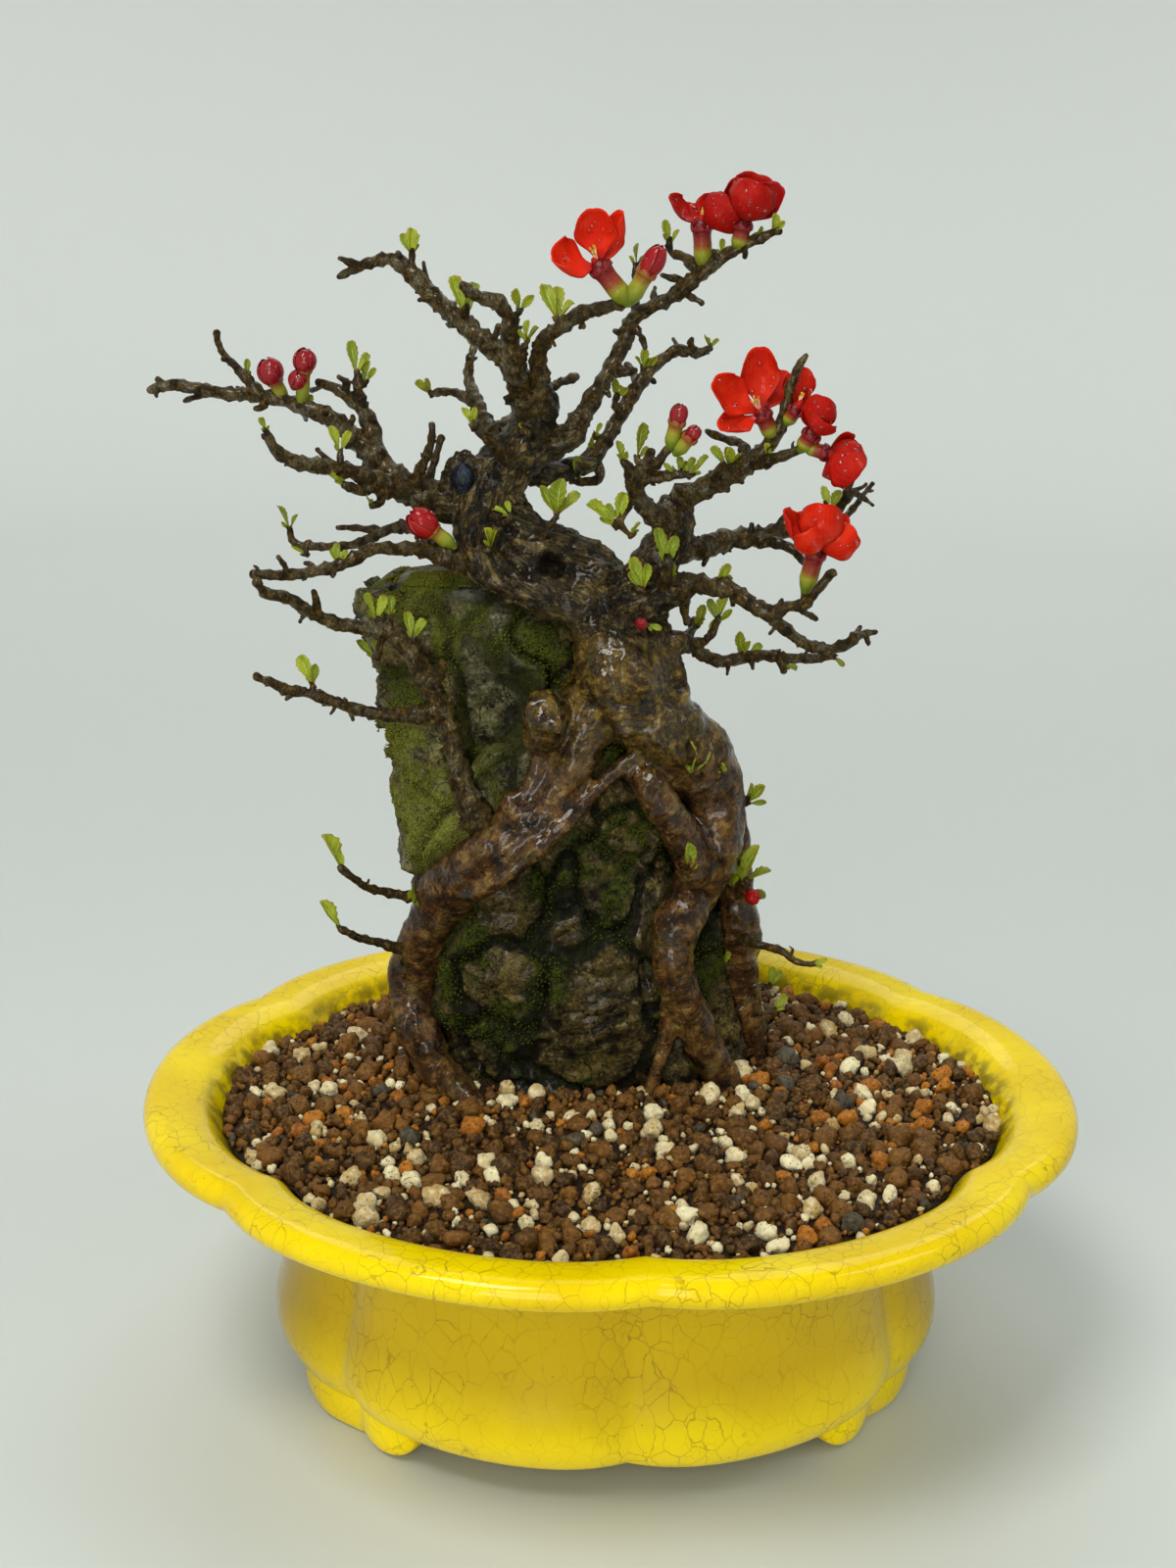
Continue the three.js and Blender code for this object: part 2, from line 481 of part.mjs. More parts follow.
function soilSolid() {
  const rings = soilSection.map(([inset, height], i) =>
    outline(inset + clearance, height + (i ? 0 : clearance)),
  );
  const edge = rings[rings.length - 1];
  for (const share of soilRings)
    rings.push(
      edge.map((p) => {
        const grain = grainRelief * (random() - 0.4);
        return new THREE.Vector3(p.x * share, p.y * share, p.z + soilRise * (1 - share) ** 0.8 + grain);
      }),
    );
  return solid(loft(rings));
}

// The rock's outline at each row: middle, half width and height, in the view's frame
const rockLevels = rockRows.map(([row, left, right, middle, half]) => {
  const a = sightline(left, row, middle);
  const b = sightline(right, row, middle);
  return { x: (a.x + b.x) / 2, y: middle, z: (a.z + b.z) / 2, wide: (b.x - a.x) / 2, deep: half };
});

function rockLevelAt(z) {
  const levels = rockLevels;
  let k = 0;
  while (k < levels.length - 2 && levels[k + 1].z < z) k++;
  const share = THREE.MathUtils.clamp((z - levels[k].z) / (levels[k + 1].z - levels[k].z), 0, 1);
  const mix = (key) => THREE.MathUtils.lerp(levels[k][key], levels[k + 1][key], share);
  return { x: mix("x"), y: mix("y"), wide: mix("wide"), deep: mix("deep") };
}

function rockSolid(swell) {
  const ring = ({ x, y, wide, deep }, z, shrink = 1) => {
    const points = [];
    for (let i = 0; i < rockSides; i++) {
      const angle = (2 * Math.PI * i) / rockSides;
      const rough = rockRoughness * shrink * ripple(x + wide * Math.cos(angle), 1.4 * deep * Math.sin(angle), z);
      const c = Math.sign(Math.cos(angle)) * Math.abs(Math.cos(angle)) ** 0.85;
      const s = Math.sign(Math.sin(angle)) * Math.abs(Math.sin(angle)) ** 0.85;
      points.push(
        toPot(new THREE.Vector3(
          x + ((wide + rough) * shrink + swell) * c,
          y + ((deep + rough) * shrink + swell) * s,
          z,
        )),
      );
    }
    return points;
  };
  const bottom = rockLevels[0];
  const top = rockLevels[rockLevels.length - 1];
  const rings = [ring(bottom, rockFoot - swell, 0.86), ring(bottom, rockFoot + 4, 0.97)];
  rockLevels.forEach((level) => rings.push(ring(level, level.z)));
  rings.push(ring(top, top.z + 1.6 + swell, 0.5));
  return solid(loft(rings));
}

// Depth of the rock's near or far face along a line of sight
function rockFace(across, down, far = false) {
  for (let k = 0; k < 200; k++) {
    const depth = far ? 75 - k / 2 : k / 2 - 25;
    const p = sightline(across, down, depth);
    const { x, y, wide, deep } = rockLevelAt(p.z);
    if (Math.abs((p.x - x) / wide) ** 2.3 + Math.abs((p.y - y) / deep) ** 2.3 < 1) return depth;
  }
  return rockLevelAt(sightline(across, down, 25).z).y;
}

// Route points as [place, radius], in the view's frame
const onRock = (route, far = false) =>
  route.map(([across, down, radius, depth]) => [
    sightline(across, down, depth ?? rockFace(across, down, far) - radius * (far ? -0.3 : 0.3)), radius,
  ]);
const free = (route) =>
  route.map(([across, down, depth, radius]) => [sightline(across, down, depth), radius]);

// A tapering stem along a route, with a little unevenness
function stem(route, sides, steps, swell = 0) {
  const curve = new THREE.CatmullRomCurve3(route.map(([place]) => place), false, "centripetal");
  const total = steps * (route.length - 1);
  const frames = curve.computeFrenetFrames(total, false);
  const rings = [];
  for (let k = 0; k <= total; k++) {
    const along = (k / total) * (route.length - 1);
    const i = Math.min(Math.floor(along), route.length - 2);
    const radius = THREE.MathUtils.lerp(route[i][1], route[i + 1][1], along - i) + swell;
    const centre = curve.getPoint(k / total);
    const ring = [];
    for (let s = 0; s < sides; s++) {
      const angle = (2 * Math.PI * s) / sides;
      ring.push(
        toPot(
          centre.clone()
            .addScaledVector(frames.normals[k], radius * Math.cos(angle))
            .addScaledVector(frames.binormals[k], radius * Math.sin(angle)),
        ),
      );
    }
    rings.push(ring);
  }
  return solid(loft(rings));
}

function burl([across, down, depth, radius], swell) {
  const at = toPot(sightline(across, down, depth ?? rockFace(across, down) - radius * 0.3));
  return solid(new THREE.SphereGeometry(radius + swell, 7, 5).translate(at.x, at.y, at.z));
}

// A closed plate on an edge given as shares of length and half width, mirrored; at() places its points
function plate(edge, at) {
  const rim = [...edge, ...edge.slice().reverse().map(([l, w]) => [l, -w])];
  const n = rim.length;
  const points = [...rim.map(([l, w]) => at(l, w, 0)), ...rim.map(([l, w]) => at(l, w, 1))];
  const faces = [];
  for (let i = 0; i < n; i++) {
    const j = (i + 1) % n;
    faces.push(i, j, j + n, i, j + n, i + n);
  }
  for (let a = 0, b = n - 1; a + 1 < b; a++, b--) {
    faces.push(b, a + 1, a, a + n, a + 1 + n, b + n);
    if (a + 2 < b) faces.push(b, b - 1, a + 1, b + n, a + 1 + n, b - 1 + n);
  }
  return solid(new THREE.BufferGeometry().setFromPoints(points).setIndex(faces));
}

// A leaf blade: a toothed edge, cupped and arched
const leafEdge = [[0, 0.08], [0.62, 0.5], [0.76, 0.34], [1, 0.16]];
const leafThickness = 0.65;

function blade(base, along, face, length, width, swell) {
  const across = new THREE.Vector3().crossVectors(face, along).normalize();
  const up = new THREE.Vector3().crossVectors(along, across).normalize();
  return plate(leafEdge, (l, w, side) =>
    base.clone()
      .addScaledVector(along, l * (length + swell))
      .addScaledVector(across, w * (width + 2 * swell))
      .addScaledVector(up, side * (leafThickness + 2 * swell) - swell + 0.4 * Math.abs(w) * width
        - 0.25 * l * l * length));
}

// Depth of the stem nearest to a pixel of the view
function stemDepth(stems, across, down) {
  const points = stems.flat();
  const apart = (p) => Math.hypot(p[0] - across, p[1] - down);
  return points.reduce((best, p) => (apart(p) < apart(best) ? p : best))[2];
}

// A tuft of blades on a short stalk, from its foot on the wood towards its tip
function tuft(stems, [footX, footY, tipX, tipY, blades], turn, swell = 0) {
  const depth = stemDepth(stems, footX, footY);
  const base = toPot(sightline(footX, footY, depth));
  const tip = toPot(sightline(tipX, tipY, depth + (turn % 3) - 2));
  const along = tip.clone().sub(base);
  const length = along.length();
  along.normalize();
  const toEye = toPot(new THREE.Vector3(0, -1, 0.4)).normalize();
  const parts = [];
  for (let b = 0; b < blades; b++) {
    const spread = blades > 1 ? (b / (blades - 1) - 0.5) * 1.1 : 0;
    const face = toEye.clone().applyAxisAngle(along, 0.9 * Math.sin(turn * 2.4 + b * 2.1));
    const lean = along.clone().applyAxisAngle(toEye, spread).normalize();
    parts.push(blade(base.clone().addScaledVector(lean, -0.6), lean, face, length + 0.8, length * 0.7, swell));
  }
  return parts;
}

// A calyx is a green cup that widens to its mouth
function calyx(stems, [footX, footY, mouthX, mouthY, radius]) {
  const depth = stemDepth(stems, footX, footY);
  const base = sightline(footX, footY, depth);
  const mouth = sightline(mouthX, mouthY, depth - 1);
  return { base, mouth, radius, axis: mouth.clone().sub(base).normalize() };
}

function calyxSolid({ base, mouth, radius }, swell) {
  const mid = base.clone().lerp(mouth, 0.45);
  return stem([[base, radius * 0.55], [mid, radius * 0.95], [mouth, radius]], 5, 1, swell);
}

function boughSolid({ stems, leaves, calyxes }, swell = 0) {
  const parts = stems.map((route) => stem(free(route), route[0][3] > 1.5 ? 4 : 3, 1, swell));
  leaves.forEach((leaf, i) => parts.push(...tuft(stems, leaf, i, swell)));
  calyxes.forEach((cup) => parts.push(calyxSolid(calyx(stems, cup), swell)));
  return join(parts);
}

function trunkSolid(swell) {
  const parts = [
    ...trunk.map((route, i) => stem(free(route), i ? 5 : 7, 1, swell)),
    ...roots.map((route) => stem(onRock(route), 5, 1, swell)),
    ...backRoots.map((route) => stem(onRock(route, true), 5, 1, swell)),
    ...burls.map((knob) => burl(knob, swell)),
  ];
  return join(parts);
}

// Five rounded, cupped petals round a low boss of stamens. Each lies over the next one like a vane.
const petalEdge = [[0, 0.1], [0.4, 0.4], [0.78, 0.42], [1, 0.13]];
const petalThickness = 0.7;
const petalTwist = 0.36;
const heartRadius = 1;

function petal(centre, axis, azimuth, open, length, swell) {
  const width = length * THREE.MathUtils.mapLinear(open, 0.3, 1.2, 0.62, 1);
  const out = new THREE.Vector3(0, 0, 1).cross(axis).normalize().applyAxisAngle(axis, azimuth);
  const hinge = new THREE.Vector3().crossVectors(axis, out).normalize();
  const along = axis.clone().applyAxisAngle(hinge, open);
  const across = hinge.applyAxisAngle(along, petalTwist);
  const up = new THREE.Vector3().crossVectors(along, across).normalize();
  return plate(petalEdge, (l, w, side) =>
    centre.clone()
      .addScaledVector(out, heartRadius)
      .addScaledVector(along, l * (length + swell))
      .addScaledVector(across, w * (width + 2 * swell))
      .addScaledVector(up, side * (petalThickness + 2 * swell) - swell + 0.8 * w * w * width
        + 0.35 * (l - 0.5) ** 2 * length));
}

// A short round body on a calyx: rises along its axis and radii
function onCalyx([bough, index], profile, sides, swell) {
  const { stems, calyxes } = boughs[bough];
  const cup = calyx(stems, calyxes[index]);
  const at = (rise) => cup.mouth.clone().addScaledVector(cup.axis, clearance + rise);
  return stem(profile.map(([rise, radius], i) => [at(rise - (i ? 0 : swell)), radius]), sides, 1, swell);
}

function bloomSolid({ calyx: seat, radius, open, turn, lean }, swell = 0) {
  const { stems, calyxes } = boughs[seat[0]];
  const cup = calyx(stems, calyxes[seat[1]]);
  const axis = toPot(lean ? new THREE.Vector3(...lean).normalize() : cup.axis.clone());
  const heart = toPot(cup.mouth.clone().addScaledVector(cup.axis, clearance + 1.4));
  const parts = [onCalyx(seat, [[0, cup.radius * 0.8], [2.6, cup.radius * 0.6]], 5, swell)];
  for (let k = 0; k < 5; k++) {
    const azimuth = THREE.MathUtils.degToRad(turn + 72 * k);
    parts.push(petal(heart, axis, azimuth, THREE.MathUtils.degToRad(open), radius, swell));
  }
  return join(parts);
}

const budSolid = ([bough, index, radius], swell = 0) =>
  onCalyx([bough, index], [[0, radius * 0.7], [radius * 0.7, radius], [radius * 1.4, radius * 0.85],
    [radius * 2, radius * 0.3]], 6, swell);

function sealSolid([across, down, depth, wide, deep, high], swell = 0) {
  const at = toPot(sightline(across, down, depth));
  const dome = new THREE.SphereGeometry(1, 6, 4).scale(wide + swell, deep + swell, high + swell);
  return solid(dome.translate(at.x, at.y, at.z));
}

// A square of plastic net over a drain hole, and the wire that holds it down through the hole
function screenSolid(side) {
  const pitch = screen.side / screen.holes;
  let net = solid(new THREE.BoxGeometry(screen.side, screen.side, screen.thickness));
  for (let i = 0; i < screen.holes; i++)
    for (let j = 0; j < screen.holes; j++) {
      const gap = new THREE.BoxGeometry(pitch - screen.bar, pitch - screen.bar, 4);
      const middle = (k) => (k + 0.5) * pitch - screen.side / 2;
      net = net.subtract(solid(gap.translate(middle(i), middle(j), 0)));
    }
  return net.translate([side * drain.x, 0, screenHeight]);
}

const screenHeight = potFloor + clearance + screen.thickness / 2;
const wireTop = screenHeight + screen.thickness / 2 + clearance + wire.radius;
const wireLow = footHeight - clearance - wire.radius;

function wireSolid(side) {
  const bends = [
    [-wire.tail, wireLow], [-wire.leg - 0.8, wireLow], [-wire.leg, wireLow + 0.8], [-wire.leg, wireTop - 0.8],
    [-wire.leg + 0.8, wireTop], [wire.leg - 0.8, wireTop], [wire.leg, wireTop - 0.8], [wire.leg, wireLow + 0.8],
    [wire.leg + 0.8, wireLow], [wire.tail, wireLow],
  ];
  const route = bends.map(([x, z]) => [
    fromPot(new THREE.Vector3(side * drain.x + x, 0, z)), wire.radius,
  ]);
  return stem(route, 4, 1);
}

// Room in the soil for a screen and its wire
function drainRoom(side) {
  const box = (wide, deep, top) =>
    solid(new THREE.BoxGeometry(wide, deep, 4).translate(side * drain.x, 0, top + clearance - 2));
  const roomSide = screen.side + 2 * clearance;
  const net = box(roomSide, roomSide, screenHeight + screen.thickness / 2);
  const bridge = 2 * (wire.leg + wire.radius + clearance);
  return net.add(box(bridge, 2 * (wire.radius + clearance), wireTop + wire.radius));
}

const rockSwollen = rockSolid(clearance);
const trunkSwollen = trunkSolid(clearance);
const wood = join([rockSwollen, trunkSwollen]);
const shootsSolid = (swell) =>
  join([
    ...shoots.stems.map((route) => stem(free(route), 3, 1, swell)),
    ...shoots.leaves.flatMap((leaf, i) => tuft([...shoots.stems, ...trunk], leaf, i, swell)),
  ]);

const planting = new THREE.Group();
const tree = new THREE.Group();
planting.add(mesh("pot", potSolid(), colours.glaze));
planting.add(mesh("rock", rockSolid(0), colours.rock));
for (const [name, side] of [["left", -1], ["right", 1]]) {
  planting.add(mesh(`drain_screen_${name}`, screenSolid(side), colours.mesh));
  planting.add(mesh(`screen_wire_${name}`, wireSolid(side), colours.mesh));
}
const hollows = join([wood, drainRoom(-1), drainRoom(1)]);
planting.add(mesh("soil", soilSolid().subtract(hollows), colours.soil));
tree.add(mesh("trunk_and_roots", trunkSolid(0).add(shootsSolid(0)).subtract(rockSwollen), colours.bark));

// Each of these is cut back from those before it wherever they would touch
const placed = [wood, shootsSolid(clearance)];
function place(name, body, swollen, colour) {
  const near = placed.filter((other) => !other.intersect(body).isEmpty());
  tree.add(mesh(name, near.reduce((rest, other) => rest.subtract(other), body), colour));
  placed.push(swollen);
}
for (const [name, seal] of Object.entries(seals))
  place(name, sealSolid(seal), sealSolid(seal, clearance), colours.seal);
for (const [name, bough] of Object.entries(boughs))
  place(name, boughSolid(bough), boughSolid(bough, clearance), colours.bark);
for (const [name, bloom] of Object.entries(blooms))
  place(name, bloomSolid(bloom), bloomSolid(bloom, clearance), colours.petal);
for (const [name, bud] of Object.entries(buds))
  place(name, budSolid(bud), budSolid(bud, clearance), colours.petal);

const bonsai = new THREE.Group();
bonsai.add(planting, tree);
export default bonsai;
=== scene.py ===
# Chojubai, a dwarf flowering quince, grown as a bonsai over a rock, in a yellow lobed pot.
# Everything is worked out in millimetres, and a mesh is written in metres.
import math

import bmesh
import bpy
import numpy as np
from mathutils import Matrix, Vector, kdtree


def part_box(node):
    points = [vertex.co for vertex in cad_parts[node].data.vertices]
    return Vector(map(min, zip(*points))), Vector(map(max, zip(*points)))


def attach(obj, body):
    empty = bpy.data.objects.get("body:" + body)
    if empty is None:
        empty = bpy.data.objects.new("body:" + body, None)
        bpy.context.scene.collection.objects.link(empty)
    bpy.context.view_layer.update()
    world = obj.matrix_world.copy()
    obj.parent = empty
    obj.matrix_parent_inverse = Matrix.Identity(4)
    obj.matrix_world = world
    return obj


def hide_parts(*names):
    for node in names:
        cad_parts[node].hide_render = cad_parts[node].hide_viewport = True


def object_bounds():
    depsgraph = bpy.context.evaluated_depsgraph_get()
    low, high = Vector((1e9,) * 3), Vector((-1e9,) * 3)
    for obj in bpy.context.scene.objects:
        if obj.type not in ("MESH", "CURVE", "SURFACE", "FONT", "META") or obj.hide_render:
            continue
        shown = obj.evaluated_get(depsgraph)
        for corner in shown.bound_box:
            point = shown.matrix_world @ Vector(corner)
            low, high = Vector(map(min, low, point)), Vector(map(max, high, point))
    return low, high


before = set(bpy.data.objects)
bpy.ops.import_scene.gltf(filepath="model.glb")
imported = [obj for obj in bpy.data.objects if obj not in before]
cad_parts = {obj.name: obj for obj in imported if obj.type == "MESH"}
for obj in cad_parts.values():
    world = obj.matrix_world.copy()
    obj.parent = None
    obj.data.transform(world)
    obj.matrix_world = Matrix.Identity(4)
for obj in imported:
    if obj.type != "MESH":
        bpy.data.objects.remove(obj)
cadLow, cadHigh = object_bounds()

# Where the tree is seen from. Routes are read off this view as pixels across and down, with a depth
# in mm behind the pot's middle.
view = {"turn": -4.5, "pitch": 17.7, "roll": 1.35, "eye": (-6.8, -424.5, 269.2), "focal": 2218,
        "centre": (600, 800),
        "tall": 1600, "perMm": 4.5}  # perMm: pixels to a millimetre at the tree
pitch, roll, turn = (math.radians(view[key]) for key in ("pitch", "roll", "turn"))
toPot = np.array(Matrix.Rotation(turn, 3, "Z")).T  # rows of points of the view's frame, times this


# The real place seen at a pixel of the view, in the view's own frame
def sightline(across, down, depth):
    u, v = across - view["centre"][0], down - view["centre"][1]
    right = (u * math.cos(roll) + v * math.sin(roll)) / view["focal"]
    below = (v * math.cos(roll) - u * math.sin(roll)) / view["focal"]
    ray = np.array([right, math.cos(pitch) - below * math.sin(pitch), -math.sin(pitch) - below * math.cos(pitch)])
    eye = np.array(view["eye"])
    return eye + ray * (depth - eye[1]) / ray[1]


def seen(across, down, depth):
    return sightline(across, down, depth) @ toPot


def unit(vector):
    return vector / (np.linalg.norm(vector) + 1e-12)


# Two directions square to an axis and to each other
def twoAcross(axis, guide):
    side = unit(np.cross(axis, guide))
    return side, np.cross(axis, side)


# A tree that finds the row whose place is nearest to a point
def placeTree(rows):
    tree = kdtree.KDTree(len(rows))
    for k, row in enumerate(rows):
        tree.insert(row[:3], k)
    tree.balance()
    return tree


def smooth(low, high, value):
    share = np.clip((value - low) / (high - low), 0, 1)
    return share * share * (3 - 2 * share)


# A repeatable number from 0 to 1 for each cell of space
def chance(cell, seed):
    mixed = (cell[..., 0] * 374761393 + cell[..., 1] * 668265263 + cell[..., 2] * 224682251 + seed
             * 326648991) & 0xffffffff
    mixed = ((mixed ^ (mixed >> 15)) * 224682251) & 0xffffffff
    mixed = ((mixed ^ (mixed >> 13)) * 326648991) & 0xffffffff
    return (mixed ^ (mixed >> 16)) / 4294967296


# A soft random field from -1 to 1, with lumps of this size in mm
def cloud(points, size, seed=0):
    at = np.asarray(points) / size
    cell = np.floor(at).astype(np.int64)
    part = at - cell
    ease = part ** 3 * (part * (part * 6 - 15) + 10)
    total = np.zeros(at.shape[:-1])
    for corner in np.ndindex(2, 2, 2):
        weight = np.prod(np.where(corner, ease, 1 - ease), axis=-1)
        total += weight * chance(cell + np.array(corner), seed)
    return total * 2 - 1


def rough(points, size, octaves, seed=0, fall=0.5):
    return sum(fall ** k * cloud(points, size / 2 ** k, seed + 31 * k) for k in range(octaves))


# Space broken into lumps: how far from a lump's middle, how far from its edge, the lump's own number and its own
# slope
def lumps(points, size, seed=0):
    at = np.asarray(points) / size
    cell = np.floor(at).astype(np.int64)
    first, second, own, slope = (np.full(at.shape[:-1], value) for value in (9.0, 9.0, 0.0, 0.0))
    for offset in np.ndindex(3, 3, 3):
        near = cell + np.array(offset) - 1
        spot = near + np.stack([chance(near, seed + k) for k in range(3)], axis=-1)
        gap = np.linalg.norm(at - spot, axis=-1)
        own = np.where(gap < first, chance(near, seed + 5), own)
        lean = np.stack([chance(near, seed + 7 + k) for k in range(3)], axis=-1) * 2 - 1
        slope = np.where(gap < first, np.einsum("...k,...k->...", at - spot, lean), slope)
        second = np.minimum(second, np.maximum(first, gap))
        first = np.minimum(first, gap)
    return first, second - first, own, slope


# Rows of (x, y, z, radius) along a curve through a route's points, at even steps
def spine(route, step):
    knots = np.array(route, float)
    ends = [2 * knots[0] - knots[1], 2 * knots[-1] - knots[-2]]
    padded = np.vstack([ends[0], knots, ends[1]])
    rows = []
    for k in range(len(knots) - 1):
        a, b, c, d = padded[k:k + 4, :3]
        ab, bc, cd = (max(np.linalg.norm(q - p), 1e-4) ** 0.5 for p, q in ((a, b), (b, c), (c, d)))
        leave = ((b - a) / ab - (c - a) / (ab + bc) + (c - b) / bc) * bc
        arrive = ((c - b) / bc - (d - b) / (bc + cd) + (d - c) / cd) * bc
        t = np.linspace(0, 1, 12, endpoint=k == len(knots) - 2)[:, None]
        place = (2 * t ** 3 - 3 * t ** 2 + 1) * b + (t ** 3 - 2 * t ** 2 + t) * leave \
            + (3 * t ** 2 - 2 * t ** 3) * c + (t ** 3 - t ** 2) * arrive
        radius = knots[k, 3] + (knots[k + 1, 3] - knots[k, 3]) * t
        rows.append(np.hstack([place, radius]))
    fine = np.vstack(rows)
    run = np.concatenate([[0], np.cumsum(np.linalg.norm(np.diff(fine[:, :3], axis=0), axis=1))])
    marks = np.linspace(0, run[-1], max(3, int(round(run[-1] / step)) + 1))
    return np.stack([np.interp(marks, run, fine[:, k]) for k in range(4)], axis=1), marks


# Two directions across each point of a path, turning as little as they can
def framesAlong(path):
    along = np.gradient(path, axis=0)
    along /= np.linalg.norm(along, axis=1)[:, None] + 1e-12
    side = unit(np.cross(along[0], [0.3, 0.2, 1] if abs(along[0][2]) < 0.9 else [1, 0, 0]))
    sides = []
    for direction in along:
        side = unit(side - direction * np.dot(side, direction))
        sides.append(side)
    sides = np.array(sides)
    return along, sides, np.cross(along, sides)


# A stem with rounded ends: points, faces, and how far along the stem each point is
def stemShape(route, step, sides, seed=0, knobs=0.12, joints=0.0):
    rows, marks = spine(route, step)
    path, radius = rows[:, :3], rows[:, 3].copy()
    if joints:  # swellings where leaves once grew
        spot = 1.5 + 2 * chance(np.array([seed, 3, 1]), 9)
        while spot < marks[-1]:
            radius *= 1 + joints * np.exp(-((marks - spot) / 0.55) ** 2)
            spot += 1.9 + 3.2 * chance(np.array([seed, int(spot * 7), 2]), 11)
    along, side, other = framesAlong(path)
    for end, way in ((0, -1), (-1, 1)):  # domed ends
        tip, r = path[end], radius[end]
        caps = [(0.55, 0.83), (0.9, 0.45)]
        extra = np.array([tip + way * along[end] * r * out for out, _ in caps])
        rings = np.array([r * share for _, share in caps])
        if end:
            path, radius = np.vstack([path, extra]), np.concatenate([radius, rings])
            side, other = (np.vstack([a, a[-1], a[-1]]) for a in (side, other))
            marks = np.concatenate([marks, [marks[-1]] * 2])
        else:
            path, radius = np.vstack([extra[::-1], path]), np.concatenate([rings[::-1], radius])
            side, other = (np.vstack([a[0], a[0], a]) for a in (side, other))
            marks = np.concatenate([[0, 0], marks])
    angle = np.linspace(0, 2 * math.pi, sides, endpoint=False)
    ring = np.cos(angle)[None, :, None] * side[:, None] + np.sin(angle)[None, :, None] * other[:, None]
    skin = path[:, None] + ring * radius[:, None, None]
    if knobs:
        size = np.maximum(radius, 0.5)[:, None]
        bump = cloud(skin, 1.7, seed) * 0.6 + cloud(skin, 0.8, seed + 1) * 0.4
        skin = path[:, None] + ring * (radius[:, None] + knobs * bump * (0.35 + 0.65 * size))[..., None]
    count = len(path)
    index = np.arange(count * sides).reshape(count, sides)
    turned = np.roll(index, -1, axis=1)
    quads = np.stack([index[:-1], turned[:-1], turned[1:], index[1:]], axis=-1).reshape(-1, 4)
    poles = [count * sides, count * sides + 1]
    start = np.stack([np.full(sides, poles[0]), turned[0], index[0]], axis=-1)
    finish = np.stack([np.full(sides, poles[1]), index[-1], turned[-1]], axis=-1)
    points = np.vstack([skin.reshape(-1, 3), path[0] - along[0] * radius[0] * 0.3,
                        path[-1] + along[-1] * radius[-1] * 0.3])
    return points, [quads, start, finish], np.concatenate([np.repeat(marks, sides), [marks[0], marks[-1]]])


# A thin body on a grid of points, with its edge closed
def sheetShape(grid, thick):
    down, over = np.gradient(grid, axis=0), np.gradient(grid, axis=1)
    normal = np.cross(over, down)
    normal /= np.linalg.norm(normal, axis=2)[..., None] + 1e-12
    rows, cols = grid.shape[:2]
    thick = np.asarray(thick) * 0.5 * np.ones((rows, cols))
    points = np.vstack([(grid + normal * thick[..., None]).reshape(-1, 3),
                        (grid - normal * thick[..., None]).reshape(-1, 3)])
    index = np.arange(rows * cols).reshape(rows, cols)
    front = np.stack([index[:-1, :-1], index[1:, :-1], index[1:, 1:], index[:-1, 1:]], axis=-1).reshape(-1, 4)
    back = front[:, ::-1] + rows * cols
    rim = np.concatenate([index[0, :-1], index[:-1, -1], index[-1, :0:-1], index[:0:-1, 0]])
    after = np.roll(rim, -1)
    edge = np.stack([rim, after, after + rows * cols, rim + rows * cols], axis=-1)
    return points, [front, back, edge]


# How far along and how far across a sheet each point of its two faces lies
def sheetMarks(u, v):
    return [np.tile(part.ravel(), 2) for part in (u + 0 * v, v + 0 * u)]


# Gathers shapes into one piece, with a finish for each face and marks that the finishes read
class Growth:
    def __init__(self):
        self.points, self.faces, self.kinds, self.marks, self.count = [], [], [], {}, 0

    def add(self, points, faces, kind=0, **marks):
        points = np.asarray(points, float).reshape(-1, 3)
        for part in faces:
            part = np.asarray(part) + self.count
            self.faces.extend(part.tolist())
            self.kinds.extend([kind] * len(part))
        for key, value in marks.items():
            self.marks.setdefault(key, [])
            self.marks[key].append((self.count, np.ones(len(points)) * value))
        self.points.append(points)
        self.count += len(points)

    def piece(self, name, finishes, slot, replaced=()):
        mesh = bpy.data.meshes.new(name)
        places = np.clip(np.vstack(self.points) * 0.001, cadLow, cadHigh)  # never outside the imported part's box
        mesh.from_pydata(places.tolist(), [], self.faces)
        for finish in finishes:
            mesh.materials.append(finish)
        mesh.polygons.foreach_set("material_index", self.kinds)
        mesh.polygons.foreach_set("use_smooth", [True] * len(self.faces))
        for key, parts in self.marks.items():
            values = np.zeros(self.count, np.float32)
            for start, part in parts:
                values[start:start + len(part)] = part
            mesh.attributes.new(key, "FLOAT", "POINT").data.foreach_set("value", values)
        mesh.validate()
        made = bpy.data.objects.new(name, mesh)
        bpy.context.scene.collection.objects.link(made)
        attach(made, "root")
        if replaced:
            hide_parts(*replaced)
        return made


def applyAll(piece):
    bpy.context.view_layer.objects.active = piece
    for modifier in list(piece.modifiers):
        with bpy.context.temp_override(object=piece, active_object=piece, selected_objects=[piece]):
            bpy.ops.object.modifier_apply(modifier=modifier.name)


def report(stage, *pieces):
    faces = sum(len(face.vertices) - 2 for piece in pieces for face in piece.data.polygons)
    print(f"{stage}: {len(pieces)} pieces, {faces} triangles")


def paint(code):
    values = [int(code[k:k + 2], 16) / 255 for k in (1, 3, 5)]
    return tuple(v / 12.92 if v < 0.04045 else ((v + 0.055) / 1.055) ** 2.4 for v in values) + (1.0,)


